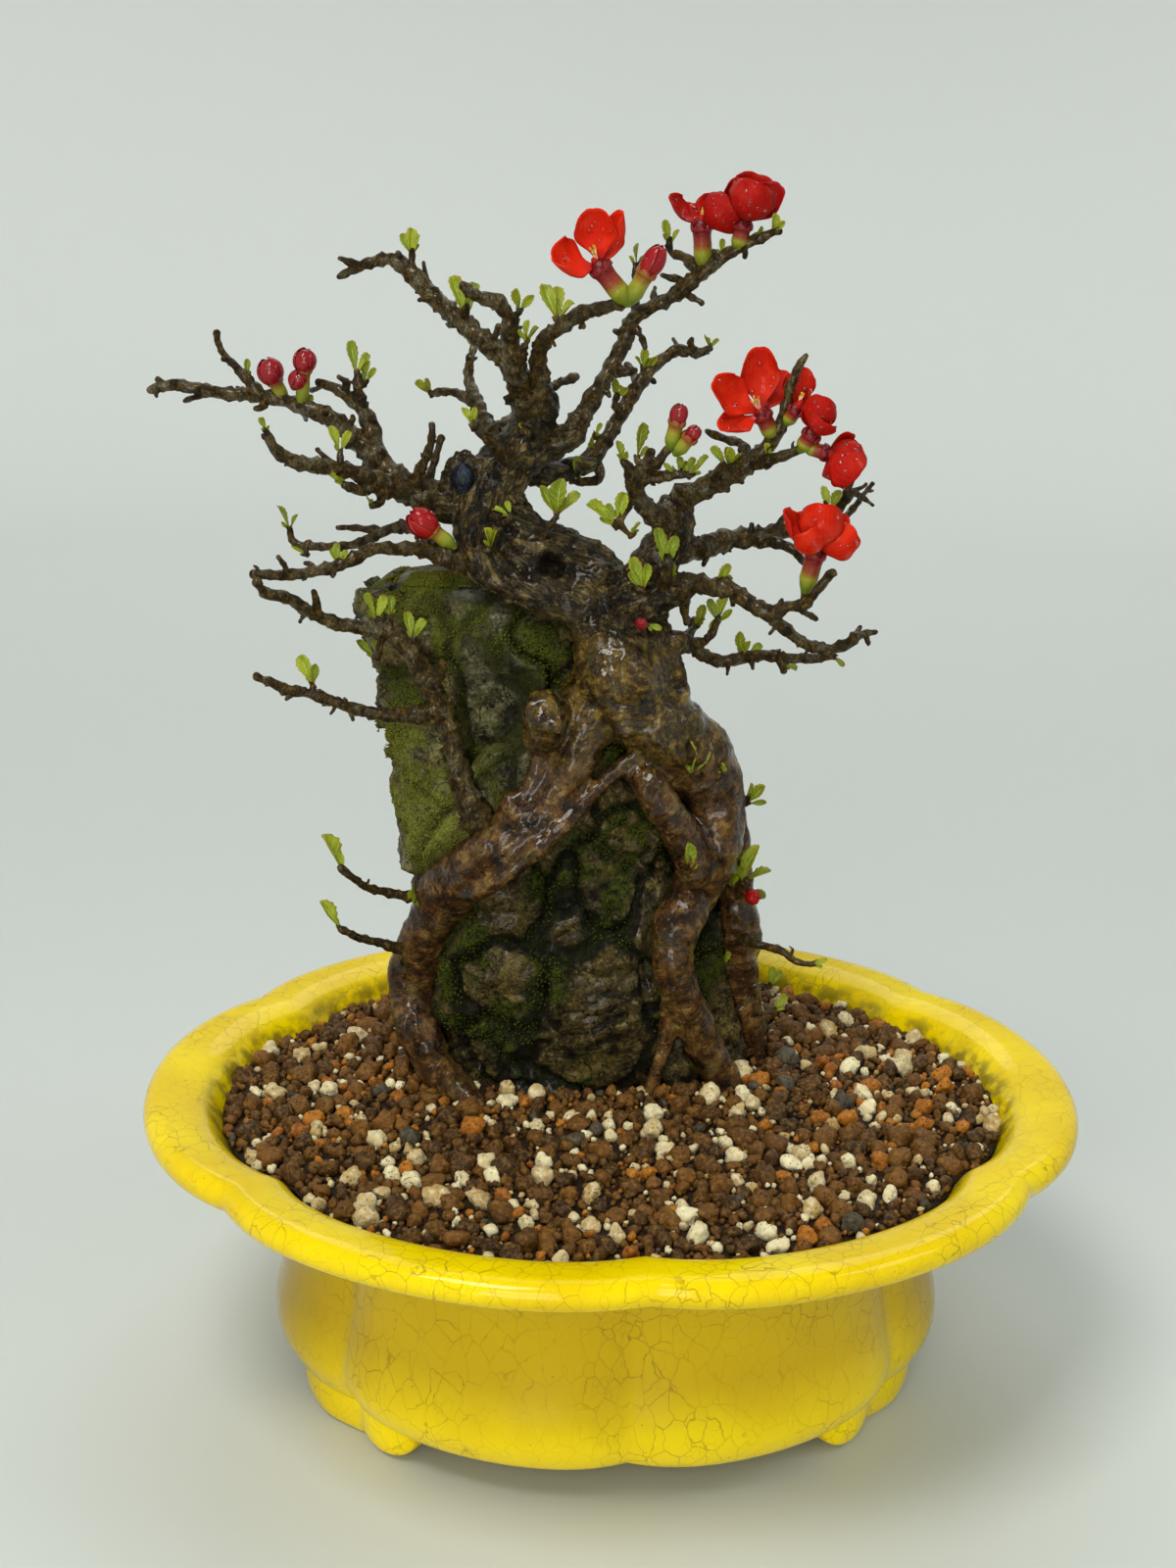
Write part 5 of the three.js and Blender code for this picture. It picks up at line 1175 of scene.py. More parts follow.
# Small side twigs and stubs, each from the nearest stem: start and tip in the view, radius at its start
twigs = [
    (180, 394, 161, 387, 0.8), (217, 401, 189, 409, 0.8), (275, 409, 261, 417, 0.8), (340, 474, 324, 459, 0.7),
    (433, 499, 450, 447, 0.9), (293, 587, 284, 569, 0.7), (391, 540, 345, 538, 0.8), (366, 268, 347, 264, 0.8),
    (408, 272, 406, 258, 0.7), (436, 298, 432, 268, 0.6), (446, 306, 428, 306, 0.7), (472, 330, 459, 332, 0.7),
    (484, 340, 485, 328, 0.8), (500, 352, 509, 333, 0.9), (552, 372, 557, 382, 0.7), (590, 321, 595, 333, 0.8),
    (356, 398, 346, 385, 0.8), (668, 311, 668, 294, 0.8), (698, 298, 716, 309, 0.9), (700, 288, 676, 281, 0.9),
    (690, 358, 687, 346, 0.7), (708, 359, 706, 346, 0.9), (750, 482, 757, 492, 0.7), (770, 472, 782, 477, 0.8),
    (785, 545, 805, 520, 0.8), (872, 502, 890, 515, 0.8), (764, 548, 767, 535, 0.7), (722, 560, 718, 576, 0.8),
    (814, 617, 833, 631, 0.8), (843, 592, 852, 586, 0.7), (744, 602, 748, 617, 0.7), (868, 652, 878, 640, 0.8),
    (722, 652, 723, 647, 0.6), (698, 600, 700, 635, 1.3), (514, 468, 485, 437, 1.0), (518, 458, 510, 437, 0.8),
    (530, 450, 525, 435, 0.7), (500, 480, 507, 459, 0.9), (238, 376, 228, 366, 0.7), (330, 392, 318, 398, 0.7),
    (306, 472, 296, 466, 0.7), (290, 463, 283, 456, 0.7), (322, 583, 312, 575, 0.7), (345, 577, 340, 588, 0.7),
    (318, 622, 306, 634, 0.6), (340, 716, 338, 728, 0.6), (300, 704, 292, 713, 0.6), (362, 724, 360, 734, 0.6),
    (640, 340, 628, 338, 0.8), (612, 398, 622, 404, 0.7), (596, 322, 592, 334, 0.7), (466, 322, 474, 316, 0.7),
    (528, 382, 518, 388, 0.8), (756, 252, 760, 262, 0.7), (736, 264, 728, 256, 0.7), (660, 384, 668, 390, 0.7),
    (736, 488, 742, 500, 0.8), (700, 506, 690, 498, 0.8), (816, 540, 820, 550, 0.7), (846, 522, 842, 512, 0.7),
    (792, 634, 786, 646, 0.7), (826, 658, 822, 668, 0.6), (770, 670, 768, 682, 0.7), (840, 671, 838, 660, 0.6),
    (740, 676, 742, 688, 0.6), (470, 572, 466, 584, 0.8), (430, 562, 426, 552, 0.7), (256, 386, 250, 380, 0.6),
    (336, 426, 328, 420, 0.8), (316, 418, 312, 428, 0.7), (560, 343, 566, 352, 0.7), (876, 498, 884, 494, 0.5),
    (884, 650, 886, 658, 0.6), (164, 396, 160, 404, 0.6), (372, 908, 376, 898, 0.5), (808, 974, 806, 966, 0.5),
]
# Tufts of leaves, each from the nearest stem: foot and tip in the view, blades
tuftSpots = [
    (420, 262, 420, 234, 3), (476, 325, 468, 283, 2), (530, 318, 532, 297, 2), (537, 350, 538, 330, 3),
    (569, 328, 576, 293, 2), (568, 328, 556, 291, 1), (364, 382, 363, 350, 2), (372, 392, 378, 371, 2),
    (366, 405, 366, 388, 1), (347, 463, 344, 436, 2), (370, 500, 371, 482, 2), (354, 497, 334, 479, 2),
    (379, 516, 374, 508, 1), (272, 440, 268, 430, 1), (314, 420, 316, 410, 1), (252, 384, 252, 372, 1),
    (296, 541, 290, 514, 2), (313, 566, 299, 558, 1), (346, 578, 345, 555, 3), (483, 437, 478, 413, 2),
    (534, 440, 534, 424, 1), (385, 634, 376, 606, 2), (399, 630, 399, 609, 1), (420, 654, 421, 626, 2),
    (385, 672, 368, 652, 2), (320, 700, 313, 669, 2), (350, 890, 332, 859, 1), (428, 928, 428, 907, 2),
    (347, 948, 328, 922, 1), (568, 527, 571, 490, 3), (583, 491, 590, 470, 1), (522, 528, 507, 514, 2),
    (501, 560, 498, 537, 2), (628, 538, 607, 510, 2), (630, 536, 637, 505, 1), (644, 547, 650, 536, 1),
    (680, 576, 680, 542, 2), (657, 602, 645, 571, 3), (686, 592, 687, 574, 1), (637, 474, 636, 452, 2),
    (650, 470, 654, 432, 1), (743, 478, 733, 454, 2), (744, 478, 750, 456, 2), (690, 484, 680, 476, 1),
    (694, 484, 697, 468, 2), (700, 484, 710, 470, 2), (704, 486, 722, 468, 1), (722, 357, 730, 350, 1),
    (656, 377, 658, 357, 3), (660, 376, 668, 366, 1), (630, 406, 632, 388, 2), (602, 462, 603, 450, 1),
    (784, 468, 783, 456, 1), (730, 597, 748, 582, 2), (732, 636, 739, 611, 3), (724, 650, 728, 634, 1),
    (710, 640, 722, 624, 2), (757, 670, 760, 649, 2), (762, 671, 778, 661, 2), (798, 678, 811, 684, 1),
    (850, 668, 860, 678, 1), (684, 250, 684, 226, 2), (649, 272, 650, 250, 1), (736, 262, 737, 247, 1),
    (772, 244, 775, 232, 1), (788, 238, 795, 220, 2), (846, 524, 847, 497, 2), (707, 792, 707, 758, 2),
    (739, 790, 735, 780, 1), (762, 820, 784, 807, 2), (760, 818, 767, 800, 1), (703, 890, 705, 864, 1),
    (748, 906, 740, 878, 3), (756, 900, 777, 870, 2), (758, 910, 778, 914, 1), (731, 990, 728, 966, 2),
    (734, 988, 742, 976, 1), (786, 1006, 792, 989, 2), (790, 1032, 802, 1017, 1), (484, 356, 480, 332, 2),
    (440, 403, 428, 388, 2), (632, 534, 610, 520, 1), (590, 491, 588, 468, 1), (426, 548, 436, 536, 1),
    (724, 355, 718, 344, 1), (640, 402, 634, 396, 1), (828, 984, 842, 982, 2), (530, 412, 522, 398, 1),
    (556, 470, 550, 458, 1), (606, 446, 612, 436, 1), (659, 637, 670, 641, 1),
]
woody, leafy, cupped = 0, 1, 2  # the finishes of a bough
growthForm = {"step": 0.76, "knobs": 0.42, "joints": 0.26, "flare": 0.35, "spurEvery": 4.8, "rightOf": 560,
              "fine": 0.88}


def stemPixels(routes):
    rows = []
    for route in routes:
        knots = np.array(route, float)
        at = np.linspace(0, len(knots) - 1, 8 * (len(knots) - 1) + 1)
        rows.append(np.stack([np.interp(at, np.arange(len(knots)), knots[:, k]) for k in range(4)], axis=1))
    return np.vstack(rows)


stemSpots = {name: stemPixels(bough["stems"]) for name, bough in boughRoutes.items()}
stemSpots["trunk"] = np.vstack([stemPixels(shootRoutes["stems"]), stemPixels(trunkRoutes)])
rootRows = [[(a, d, depth[0] if depth else rockFace(a, d) - 0.3 * r, r) for a, d, r, *depth in route]
            for route in rootRoutes]
stemSpots["trunk"] = np.vstack([stemSpots["trunk"], stemPixels(rootRows)])


# The stem nearest to a pixel of the view: its name, and its place, depth and radius there
def nearestStem(across, down):
    found = {name: np.hypot(rows[:, 0] - across, rows[:, 1] - down) for name, rows in stemSpots.items()}
    name = min(found, key=lambda key: found[key].min())
    return name, stemSpots[name][int(np.argmin(found[name]))]


extraTwigs = {name: [] for name in stemSpots}
extraTufts = {name: [] for name in stemSpots}
for k, (ax, ay, bx, by, radius) in enumerate(twigs):
    name, (sx, sy, depth, thick) = nearestStem(ax, ay)
    swing = 3.5 * math.sin(k * 2.3)
    middle = ((ax + bx) / 2 + 2.2 * math.sin(k * 1.7), (ay + by) / 2 + 1.8 * math.cos(k * 2.9))
    extraTwigs[name].append([(sx, sy, depth, radius), (*middle, depth + swing * 0.4, radius * 0.85),
                             (bx, by, depth + swing, radius * 0.7)])
for k, (ax, ay, bx, by, blades) in enumerate(tuftSpots):
    name, (sx, sy, depth, thick) = nearestStem(ax, ay)
    if name == "trunk" and thick > 3:  # from the front of the thick limbs
        rows = stemSpots["trunk"]
        away = np.hypot(rows[:, 0] - ax, rows[:, 1] - ay) / view["perMm"]
        fronts = rows[:, 2] - np.sqrt(np.maximum(rows[:, 3] ** 2 - away ** 2, 0))
        depth = fronts[away < rows[:, 3]].min(initial=depth - thick * 0.8) - 0.2
    if math.hypot(sx - ax, sy - ay) > 3:
        middle = ((sx + ax) / 2 + 1.5 * math.sin(k), (sy + ay) / 2, depth - 0.5)
        extraTwigs[name].append([(sx, sy, depth + (1 if thick > 3 else 0), 0.75), (*middle, 0.6),
                                 (ax, ay, depth, 0.55)])
    extraTufts[name].append((ax, ay, bx, by, depth, blades, k))

leafForm = {"rows": 13, "cols": 5, "thick": 0.24, "tooth": 0.11}


# A wedge-shaped leaf with a toothed round tip, folded along its midrib
def leafShape(foot, tip, face, width, fold, arch, seed):
    length = np.linalg.norm(tip - foot)
    along = unit(tip - foot)
    across = unit(np.cross(face, along))
    up = np.cross(along, across)
    u = np.linspace(0, 1, leafForm["rows"])[:, None]
    v = np.linspace(-1, 1, leafForm["cols"])[None, :]
    wide = ((0.12 + 0.88 * smooth(0.05, 0.7, u))
            * np.sqrt(np.clip(1 - (np.maximum(u - 0.68, 0) / 0.335) ** 2.4, 0, 1)))
    tooth = 1 + leafForm["tooth"] * np.where(np.arange(leafForm["rows"]) % 2, 1,
                                             -0.6)[:, None] * (np.abs(v) > 0.95) * (u > 0.38)
    x = v * wide * tooth * width / 2
    rise = fold * np.abs(x) - arch * length * u ** 2 + 0.05 * length * np.sin(6 * u + seed) * v * u
    curl = 0.16 * width * v * np.sin(seed * 1.3) * u
    grid = foot + along * (u * length + 0 * v)[..., None] + across * x[..., None] + up * (rise + curl)[..., None]
    points, faces = sheetShape(grid, leafForm["thick"] * (1 - 0.55 * np.abs(v) ** 2 + 0 * u))
    return points, faces, *sheetMarks(u, v)


toEye = unit(np.array([0.0, -1.0, 0.45]) @ toPot)
upright = np.array([0.0, 0.0, 1.0])


def addTuft(growth, ax, ay, bx, by, depth, blades, seed):
    draw = np.random.default_rng(100 + seed)
    foot, tip = seen(ax, ay, depth), seen(bx, by, depth + draw.uniform(-2.5, 1.5))
    along, length = unit(tip - foot), np.linalg.norm(tip - foot)
    tall = max(length, 3.2)
    across = unit(np.cross(toEye, along))
    for b in range(blades + 1 + (draw.random() < 0.4)):
        main = b == 0
        spread = 0 if main and blades != 2 else (-1) ** b * draw.uniform(0.25, 0.66)
        if main and blades == 2:
            spread = 0.2
        lean = unit(along + across * spread + toEye * draw.uniform(-0.35, 0.35))
        size = tall * (1 if main else draw.uniform(0.6, 0.92)) * (1.04 if b < blades else 0.6)
        face = unit(toEye + upright * 0.5 + draw.normal(size=3) * 0.32)
        start = foot + lean * 0.2
        points, faces, run, side = leafShape(start, start + lean * size, face, size * draw.uniform(0.31, 0.44),
                                             draw.uniform(0.4, 1.1),
                                             draw.uniform(-0.12, 0.16), draw.uniform(0, 6))
        growth.add(points, faces, leafy, along=run, across=side, tone=draw.random())
    for b in range(3):  # scales of the bud that it grew from
        lean = unit(along + across * draw.uniform(-0.8, 0.8) + toEye * draw.uniform(-0.5, 0.5))
        shape, faces, _ = stemShape([(*(foot - lean * 0.3), 0.45), (*(foot + lean * 0.5), 0.5),
                                     (*(foot + lean * 1.1), 0.2)], 0.4, 6, seed + b)
        growth.add(shape, faces, woody, thin=1)


lobes = 5  # of a calyx, and petals of a bud


# A flower's green cup, which reddens to its five lobes
def addCalyx(growth, foot, mouth, radius, seed, red):
    axis, length = unit(mouth - foot), np.linalg.norm(mouth - foot)
    rows = [(0, 0.5), (0.12, 0.72), (0.3, 0.88), (0.5, 0.86), (0.75, 0.84), (0.92, 0.92), (1.0, 0.86)]
    route = [(*(foot + axis * length * share), radius * wide) for share, wide in rows]
    points, faces, marks = stemShape(route, 0.4, 16, seed, knobs=0.05)
    growth.add(points, faces, cupped, along=marks / marks[-1] * red, across=0, tone=0.5)
    side, other = twoAcross(axis, [0.3, 1, 0.2])
    for k in range(lobes):
        angle = 2 * math.pi * (k + 0.2) / lobes
        out = math.cos(angle) * side + math.sin(angle) * other
        over = np.cross(axis, out)
        u, v = np.linspace(0, 1, 6)[:, None], np.linspace(-1, 1, 5)[None, :]
        wide = radius * 0.62 * np.sqrt(np.clip(1 - (u * 0.98) ** 2, 0, 1)) + 0.03
        rise = (u + 0 * v) * radius * 0.7
        bulge = radius * (0.94 + 0.06 * np.sin(math.pi * u) - 0.16 * v ** 2)
        grid = (mouth - axis * 0.6 + axis * rise[..., None] + out * (bulge + 0 * v)[..., None]
                + over * (wide * v)[..., None])
        points, faces = sheetShape(grid, 0.26)
        growth.add(points, faces, cupped, along=sheetMarks((0.8 + 0.15 * u) * red, v)[0], across=0, tone=0.8)


def addStem(growth, route, seed):
    rows = [list(row) for row in free(route)]
    if np.mean([row[0] for row in route]) > growthForm["rightOf"]:  # the boughs on the right are finer
        rows = [[*row[:3], row[3] * growthForm["fine"]] for row in rows]
    rows[0][3] *= 1 + growthForm["flare"]
    sides = 12 if route[0][3] > 1.5 else 10 if route[0][3] > 0.9 else 8
    points, faces, _ = stemShape(rows, growthForm["step"], sides, seed, growthForm["knobs"], growthForm["joints"])
    growth.add(points, faces, woody, thin=float(np.clip(1.6 - np.mean([row[3] for row in rows]) / 1.6, 0, 1)))
    return rows


# Short spurs and dormant buds along a stem
def addSpurs(growth, rows, seed):
    draw = np.random.default_rng(900 + seed)
    path, marks = spine(rows, 0.6)
    along, side, other = framesAlong(path[:, :3])
    spot = 2.5
    while spot < marks[-1] - 1:
        k = int(np.searchsorted(marks, spot))
        radius, angle = path[k, 3], draw.uniform(0, 2 * math.pi)
        out = unit(math.cos(angle) * side[k] + math.sin(angle) * other[k] + along[k] * draw.uniform(0.1, 0.7))
        tall = draw.uniform(0.05, 0.6) + (0.9 if draw.random() < 0.1 else 0)
        thick = min(0.75, max(0.36, radius * draw.uniform(0.35, 0.6)))
        start = path[k, :3]
        bend = start + out * (radius + tall * 0.6)
        tip = start + out * (radius + tall) + along[k] * tall * 0.3
        points, faces, _ = stemShape([(*start, thick * 1.4), (*bend, thick), (*tip, thick * 0.55)], 0.4, 6,
                                     seed + k, 0.4)
        growth.add(points, faces, woody, thin=1)
        spot += draw.uniform(0.5, 1.5) * growthForm["spurEvery"]


budSeats = {  # each bud: its bough, which calyx, its radius, how tall, how dark
    "bud_left_1": ("bough_high_left", 0, 2.9, 0.95, 1), "bud_left_2": ("bough_high_left", 1, 2.5, 1, 1),
    "bud_middle": ("bough_middle_left", 0, 3.0, 1.12, 0.6), "bud_twin": ("bough_twin_flower", 1, 2.3, 1.45, 0.8),
    "bud_cluster_1": ("bough_bud_cluster", 0, 1.8, 1.1, 1), "bud_cluster_2": ("bough_bud_cluster", 1, 1.5, 1, 0.9),
}
bloomCups = {}  # where each bough's flowers sit: mouth of the calyx, its axis, its radius


def growBough(name, bough, number):
    growth = Growth()
    for k, route in enumerate(bough["stems"]):
        rows = addStem(growth, route, 40 * number + k)
        addSpurs(growth, rows, 40 * number + k)
    for k, route in enumerate(extraTwigs[name]):
        rows = addStem(growth, route, 40 * number + 20 + k)
    for spot in extraTufts[name]:
        addTuft(growth, *spot)
    knots = np.array([row for route in bough["stems"] for row in route], float)
    for k, (ax, ay, bx, by, radius) in enumerate(bough.get("calyxes", [])):
        depth = knots[np.argmin(np.hypot(knots[:, 0] - ax, knots[:, 1] - ay)), 2]
        foot, mouth = seen(ax, ay, depth), seen(bx, by, depth - 1)
        inBud = (name, k) in [seat[:2] for seat in budSeats.values()]
        radius *= 0.76
        bloomCups[name, k] = (mouth, unit(mouth - foot), radius)
        addCalyx(growth, foot, mouth, radius, number + k, 0.62 if inBud else 1)
    return growth


def makeBoughs():
    finishes = [twigBark(), leafGreen(), calyxFinish()]
    pieces = []
    for number, (name, bough) in enumerate(boughRoutes.items()):
        growth = growBough(name, bough, number)
        pieces.append(growth.piece(name.replace("bough_", "") + "_bough", finishes, "bark", [name]))
    growth = Growth()
    for k, route in enumerate(shootRoutes["stems"]):
        addStem(growth, route, 700 + k)
    for k, route in enumerate(extraTwigs["trunk"]):
        addStem(growth, route, 760 + k)
    for spot in extraTufts["trunk"]:
        addTuft(growth, *spot)
    pieces.append(growth.piece("trunk_shoots", finishes, "bark", ["trunk_and_roots"]))
    report("boughs and leaves", *pieces)


def twigBark():
    f = Finish("twig_bark", IOR=1.5, Coat_Roughness=0.17, Specular_IOR_Level=0.16)
    thin = f.mark("thin")
    bark = f.ramp(f.noise(2.4, 5, 0.62), (0.34, "#140d02"), (0.46, "#3b2d0c"), (0.58, "#68521d"), (0.72, "#9f8b48"))
    twig = f.ramp(f.noise(1.8, 4, 0.66), (0.34, "#150d02"), (0.5, "#42300c"), (0.68, "#765c26"))
    coat = f.mix(thin, bark, twig)
    pores = f.cells(0.95, at=f.pushed(2, 0.8)).rise(0.24, 0.12) * f.noise(3, 2).rise(0.42, 0.58)
    coat = f.mix(pores * 0.4, coat, "#a08b5c")
    coat = f.mix(f.noise(4, 4, 0.6).rise(0.5, 0.64) * (0.7 - 0.6 * thin), coat, "#838062")
    wet = f.noise(2.4, 3).rise(0.42, 0.58)
    crack = (f.noise(1.1, 4, 0.66, at=f.pushed(3, 1, (1.5, 1.5, 0.7))) - 0.5).size().rise(0.06, 0)
    coat = f.mix(crack * 0.7, coat, "#0a0601")
    bumps = f.height(f.noise(0.6, 5, 0.72), 0.75, f.height(0 - crack, 0.35))
    return f.wear(Base_Color=coat, Roughness=0.62 - 0.24 * wet, Coat_Weight=0.4 * wet, Normal=bumps)


def leafGreen():
    f = Finish("young_quince_leaf", Subsurface_Weight=0.18, Subsurface_Scale=0.0012, IOR=1.45)
    along, across, tone = f.mark("along"), f.mark("across"), f.mark("tone")
    green = f.mix(tone, "#637608", "#909f1c")
    green = f.mix(f.noise(2.4, 3).rise(0.35, 0.7) * 0.5, green, "#56680a")
    rib = across.size().rise(0.14, 0.03)
    veins = ((along * 34 - across.size() * 9).wave()).rise(0.72, 1.0) * across.size().rise(1.0, 0.75)
    green = f.mix((rib * 0.75).most(veins * 0.4) * along.rise(1.0, 0.6), green, "#c3d26a")
    green = f.mix(along.rise(0.3, 0.02) * 0.75, green, "#8c3c1c")
    green = f.mix(across.size().rise(0.82, 1) * along.rise(0.4, 0.9) * 0.35, green, "#a4561f")
    return f.wear(Base_Color=green, Roughness=0.36 + 0.12 * f.noise(1.5, 2),
                  Normal=f.height(veins + rib * 1.5 + f.noise(0.6, 2) * 0.5, 0.09))


def calyxFinish():
    f = Finish("calyx", Subsurface_Weight=0.12, Subsurface_Scale=0.001, IOR=1.45)
    along = f.mark("along") + 0.16 * (f.noise(1.6, 3) - 0.5)
    coat = f.ramp(along, (0.05, "#5d6c18"), (0.36, "#83841f"), (0.56, "#803a1a"), (0.85, "#741014"),
                  (1.0, "#560a10"))
    return f.wear(Base_Color=coat, Roughness=0.34, Normal=f.height(f.noise(0.7, 3), 0.12))


makeBoughs()

# Petals of each flower: tip across, down and depth from the heart, width in pixels, how hollow, and how far its
# inner face is turned to the viewer, or its back if below 0
petalSets = {
    "bloom_upper_left": [(561, 262, -3, 44, 0.8, 0.6), (605, 211, -1, 37, 0.5, 0.75), (635, 213, 1, 29, 0.8, 0.2),
                         (624, 224, 8, 34, 0.5, 0.4)],
    "bloom_top": [(682, 199, -1, 24, 0.7, 0.5), (750, 209, -4, 40, 0.85, -0.75), (738, 200, 5, 34, 0.6, 0.6),
                  (697, 206, 6, 24, 0.6, 0.4), (740, 222, 3, 30, 0.7, 0.2)],
    "bloom_top_right": [(750, 184, -1, 38, 0.9, -0.3), (775, 176, 6, 44, 0.8, 0.6), (798, 188, 2, 34, 0.5, 0.5),
                        (773, 186, -6, 42, 0.95, -0.9), (758, 180, 4, 38, 0.8, 0.4), (768, 190, -1, 26, 1.1, 0),
                        (783, 192, -3, 34, 0.9, -0.6)],
    "bloom_right_open": [(726, 388, -4, 36, 0.6, 0.85), (775, 352, 1, 35, 0.55, 0.85), (732, 437, -5, 26, 0.6, 0.5),
                         (798, 376, 8, 32, 0.5, 0.4)],
    "bloom_right_behind": [(821, 373, 3, 28, 0.6, 0.1), (808, 380, 6, 24, 0.6, 0.4), (826, 396, 2, 24, 0.7, -0.3)],
    "bloom_right_half": [(840, 403, -2, 30, 1.0, -0.8), (847, 418, 1, 28, 0.9, -0.3), (827, 409, 2, 26, 0.9, 0.3),
                         (842, 408, 5, 28, 0.8, 0.5), (842, 430, -4, 28, 1.0, -0.6)],
    "bloom_right_far": [(880, 483, -4, 42, 0.8, -1), (879, 460, -1, 36, 0.8, -0.6), (862, 490, -1, 34, 0.8, -0.6),
                        (872, 452, 4, 34, 0.8, 0.2), (880, 474, 5, 36, 0.7, 0.3)],
    "bloom_lower_right": [(799, 519, 0, 25, 0.7, 0.2), (842, 513, -4, 40, 0.95, -0.85),
                          (877, 545, -1, 36, 0.9, -0.7),
                          (822, 542, -7, 28, 0.95, -0.8), (860, 522, 5, 34, 0.7, 0.5), (820, 520, 6, 30, 0.7, 0.4)],
}
# How deep each flower's scarlet is; partly painted light, as the paler flowers stand for ones in brighter light
scarletDepthAndPaintedLight = {"bloom_upper_left": 0, "bloom_top": 0.85, "bloom_top_right": 1, "bloom_right_open": 0.3,
              "bloom_right_behind": 0.6,
              "bloom_right_half": 0.8, "bloom_right_far": 0.7, "bloom_lower_right": 0.3}
bloomForm = {"stamens": 14, "beads": 7, "bead": (0.22, 0.48)}
petalForm = {"rows": 15, "cols": 13, "thick": 0.42, "ruffle": 0.3, "round": 0.3}
bloomSeats = {
    "bloom_upper_left": ("bough_twin_flower", 0), "bloom_top": ("bough_top_right", 0),
              "bloom_top_right": ("bough_top_right", 1),
    "bloom_right_open": ("bough_long_right", 0), "bloom_right_behind": ("bough_long_right", 1),
    "bloom_right_half": ("bough_long_right", 2), "bloom_right_far": ("bough_long_right", 3),
    "bloom_lower_right": ("bough_flower_right", 0),
}


# A hollow round petal on a narrow claw, with a ruffled edge
def petalShape(foot, tip, inward, width, hollow, seed):
    along, length = unit(tip - foot), np.linalg.norm(tip - foot)
    inward = unit(inward - along * np.dot(inward, along))
    across = np.cross(inward, along)
    u = np.linspace(0, 1, petalForm["rows"])[:, None]
    v = np.linspace(-1, 1, petalForm["cols"])[None, :]
    wide = (0.14 + 0.86 * smooth(-0.05, 0.55, u)) * (1 - 0.16 * smooth(0.6, 1.0, u))
    x = v * wide * width / 2
    bend = hollow * (0.72 * np.abs(x) ** 2 / (width / 2) - length * 0.26
                     * np.sin(math.pi * np.clip(u, 0, 1) ** 0.9))
    wave = petalForm["ruffle"] * (u ** 2) * np.abs(v) ** 1.5 * np.sin(7 * v + 9 * u + seed) * 0.6
    notch = length * (petalForm["round"] * u ** 2 * np.abs(v) ** 2.5 + 0.035 * (1 - np.abs(v)) ** 2 * u ** 6)
    grid = (foot + along * (u * length - notch)[..., None] + across * x[..., None]
            + inward * (bend + wave)[..., None])
    grid = grid + 0.1 * np.stack([cloud(grid, 1.6, seed + k) for k in range(3)], axis=-1)
    points, faces = sheetShape(grid, petalForm["thick"] * (0.45 + 0.55 * (1 - np.abs(v) ** 3) * (1 - u ** 4)))
    return points, faces, *sheetMarks(u, v), grid


# Buds too small for a seat of their own: foot and tip in the view, radius, how dark
smallBuds = [("left_bud_small", (301, 393, 18), (307, 381, 17), 2.0, 1),
             ("trunk_bud_small", (657, 637, 0.4), (650, 635, -1.4), 1.25, 0.9),
             ("side_bud_small", (763, 912, 12.6), (771, 917, 12), 1.7, 0.3)]
dropSpots = []  # where water stands: place, normal, radius


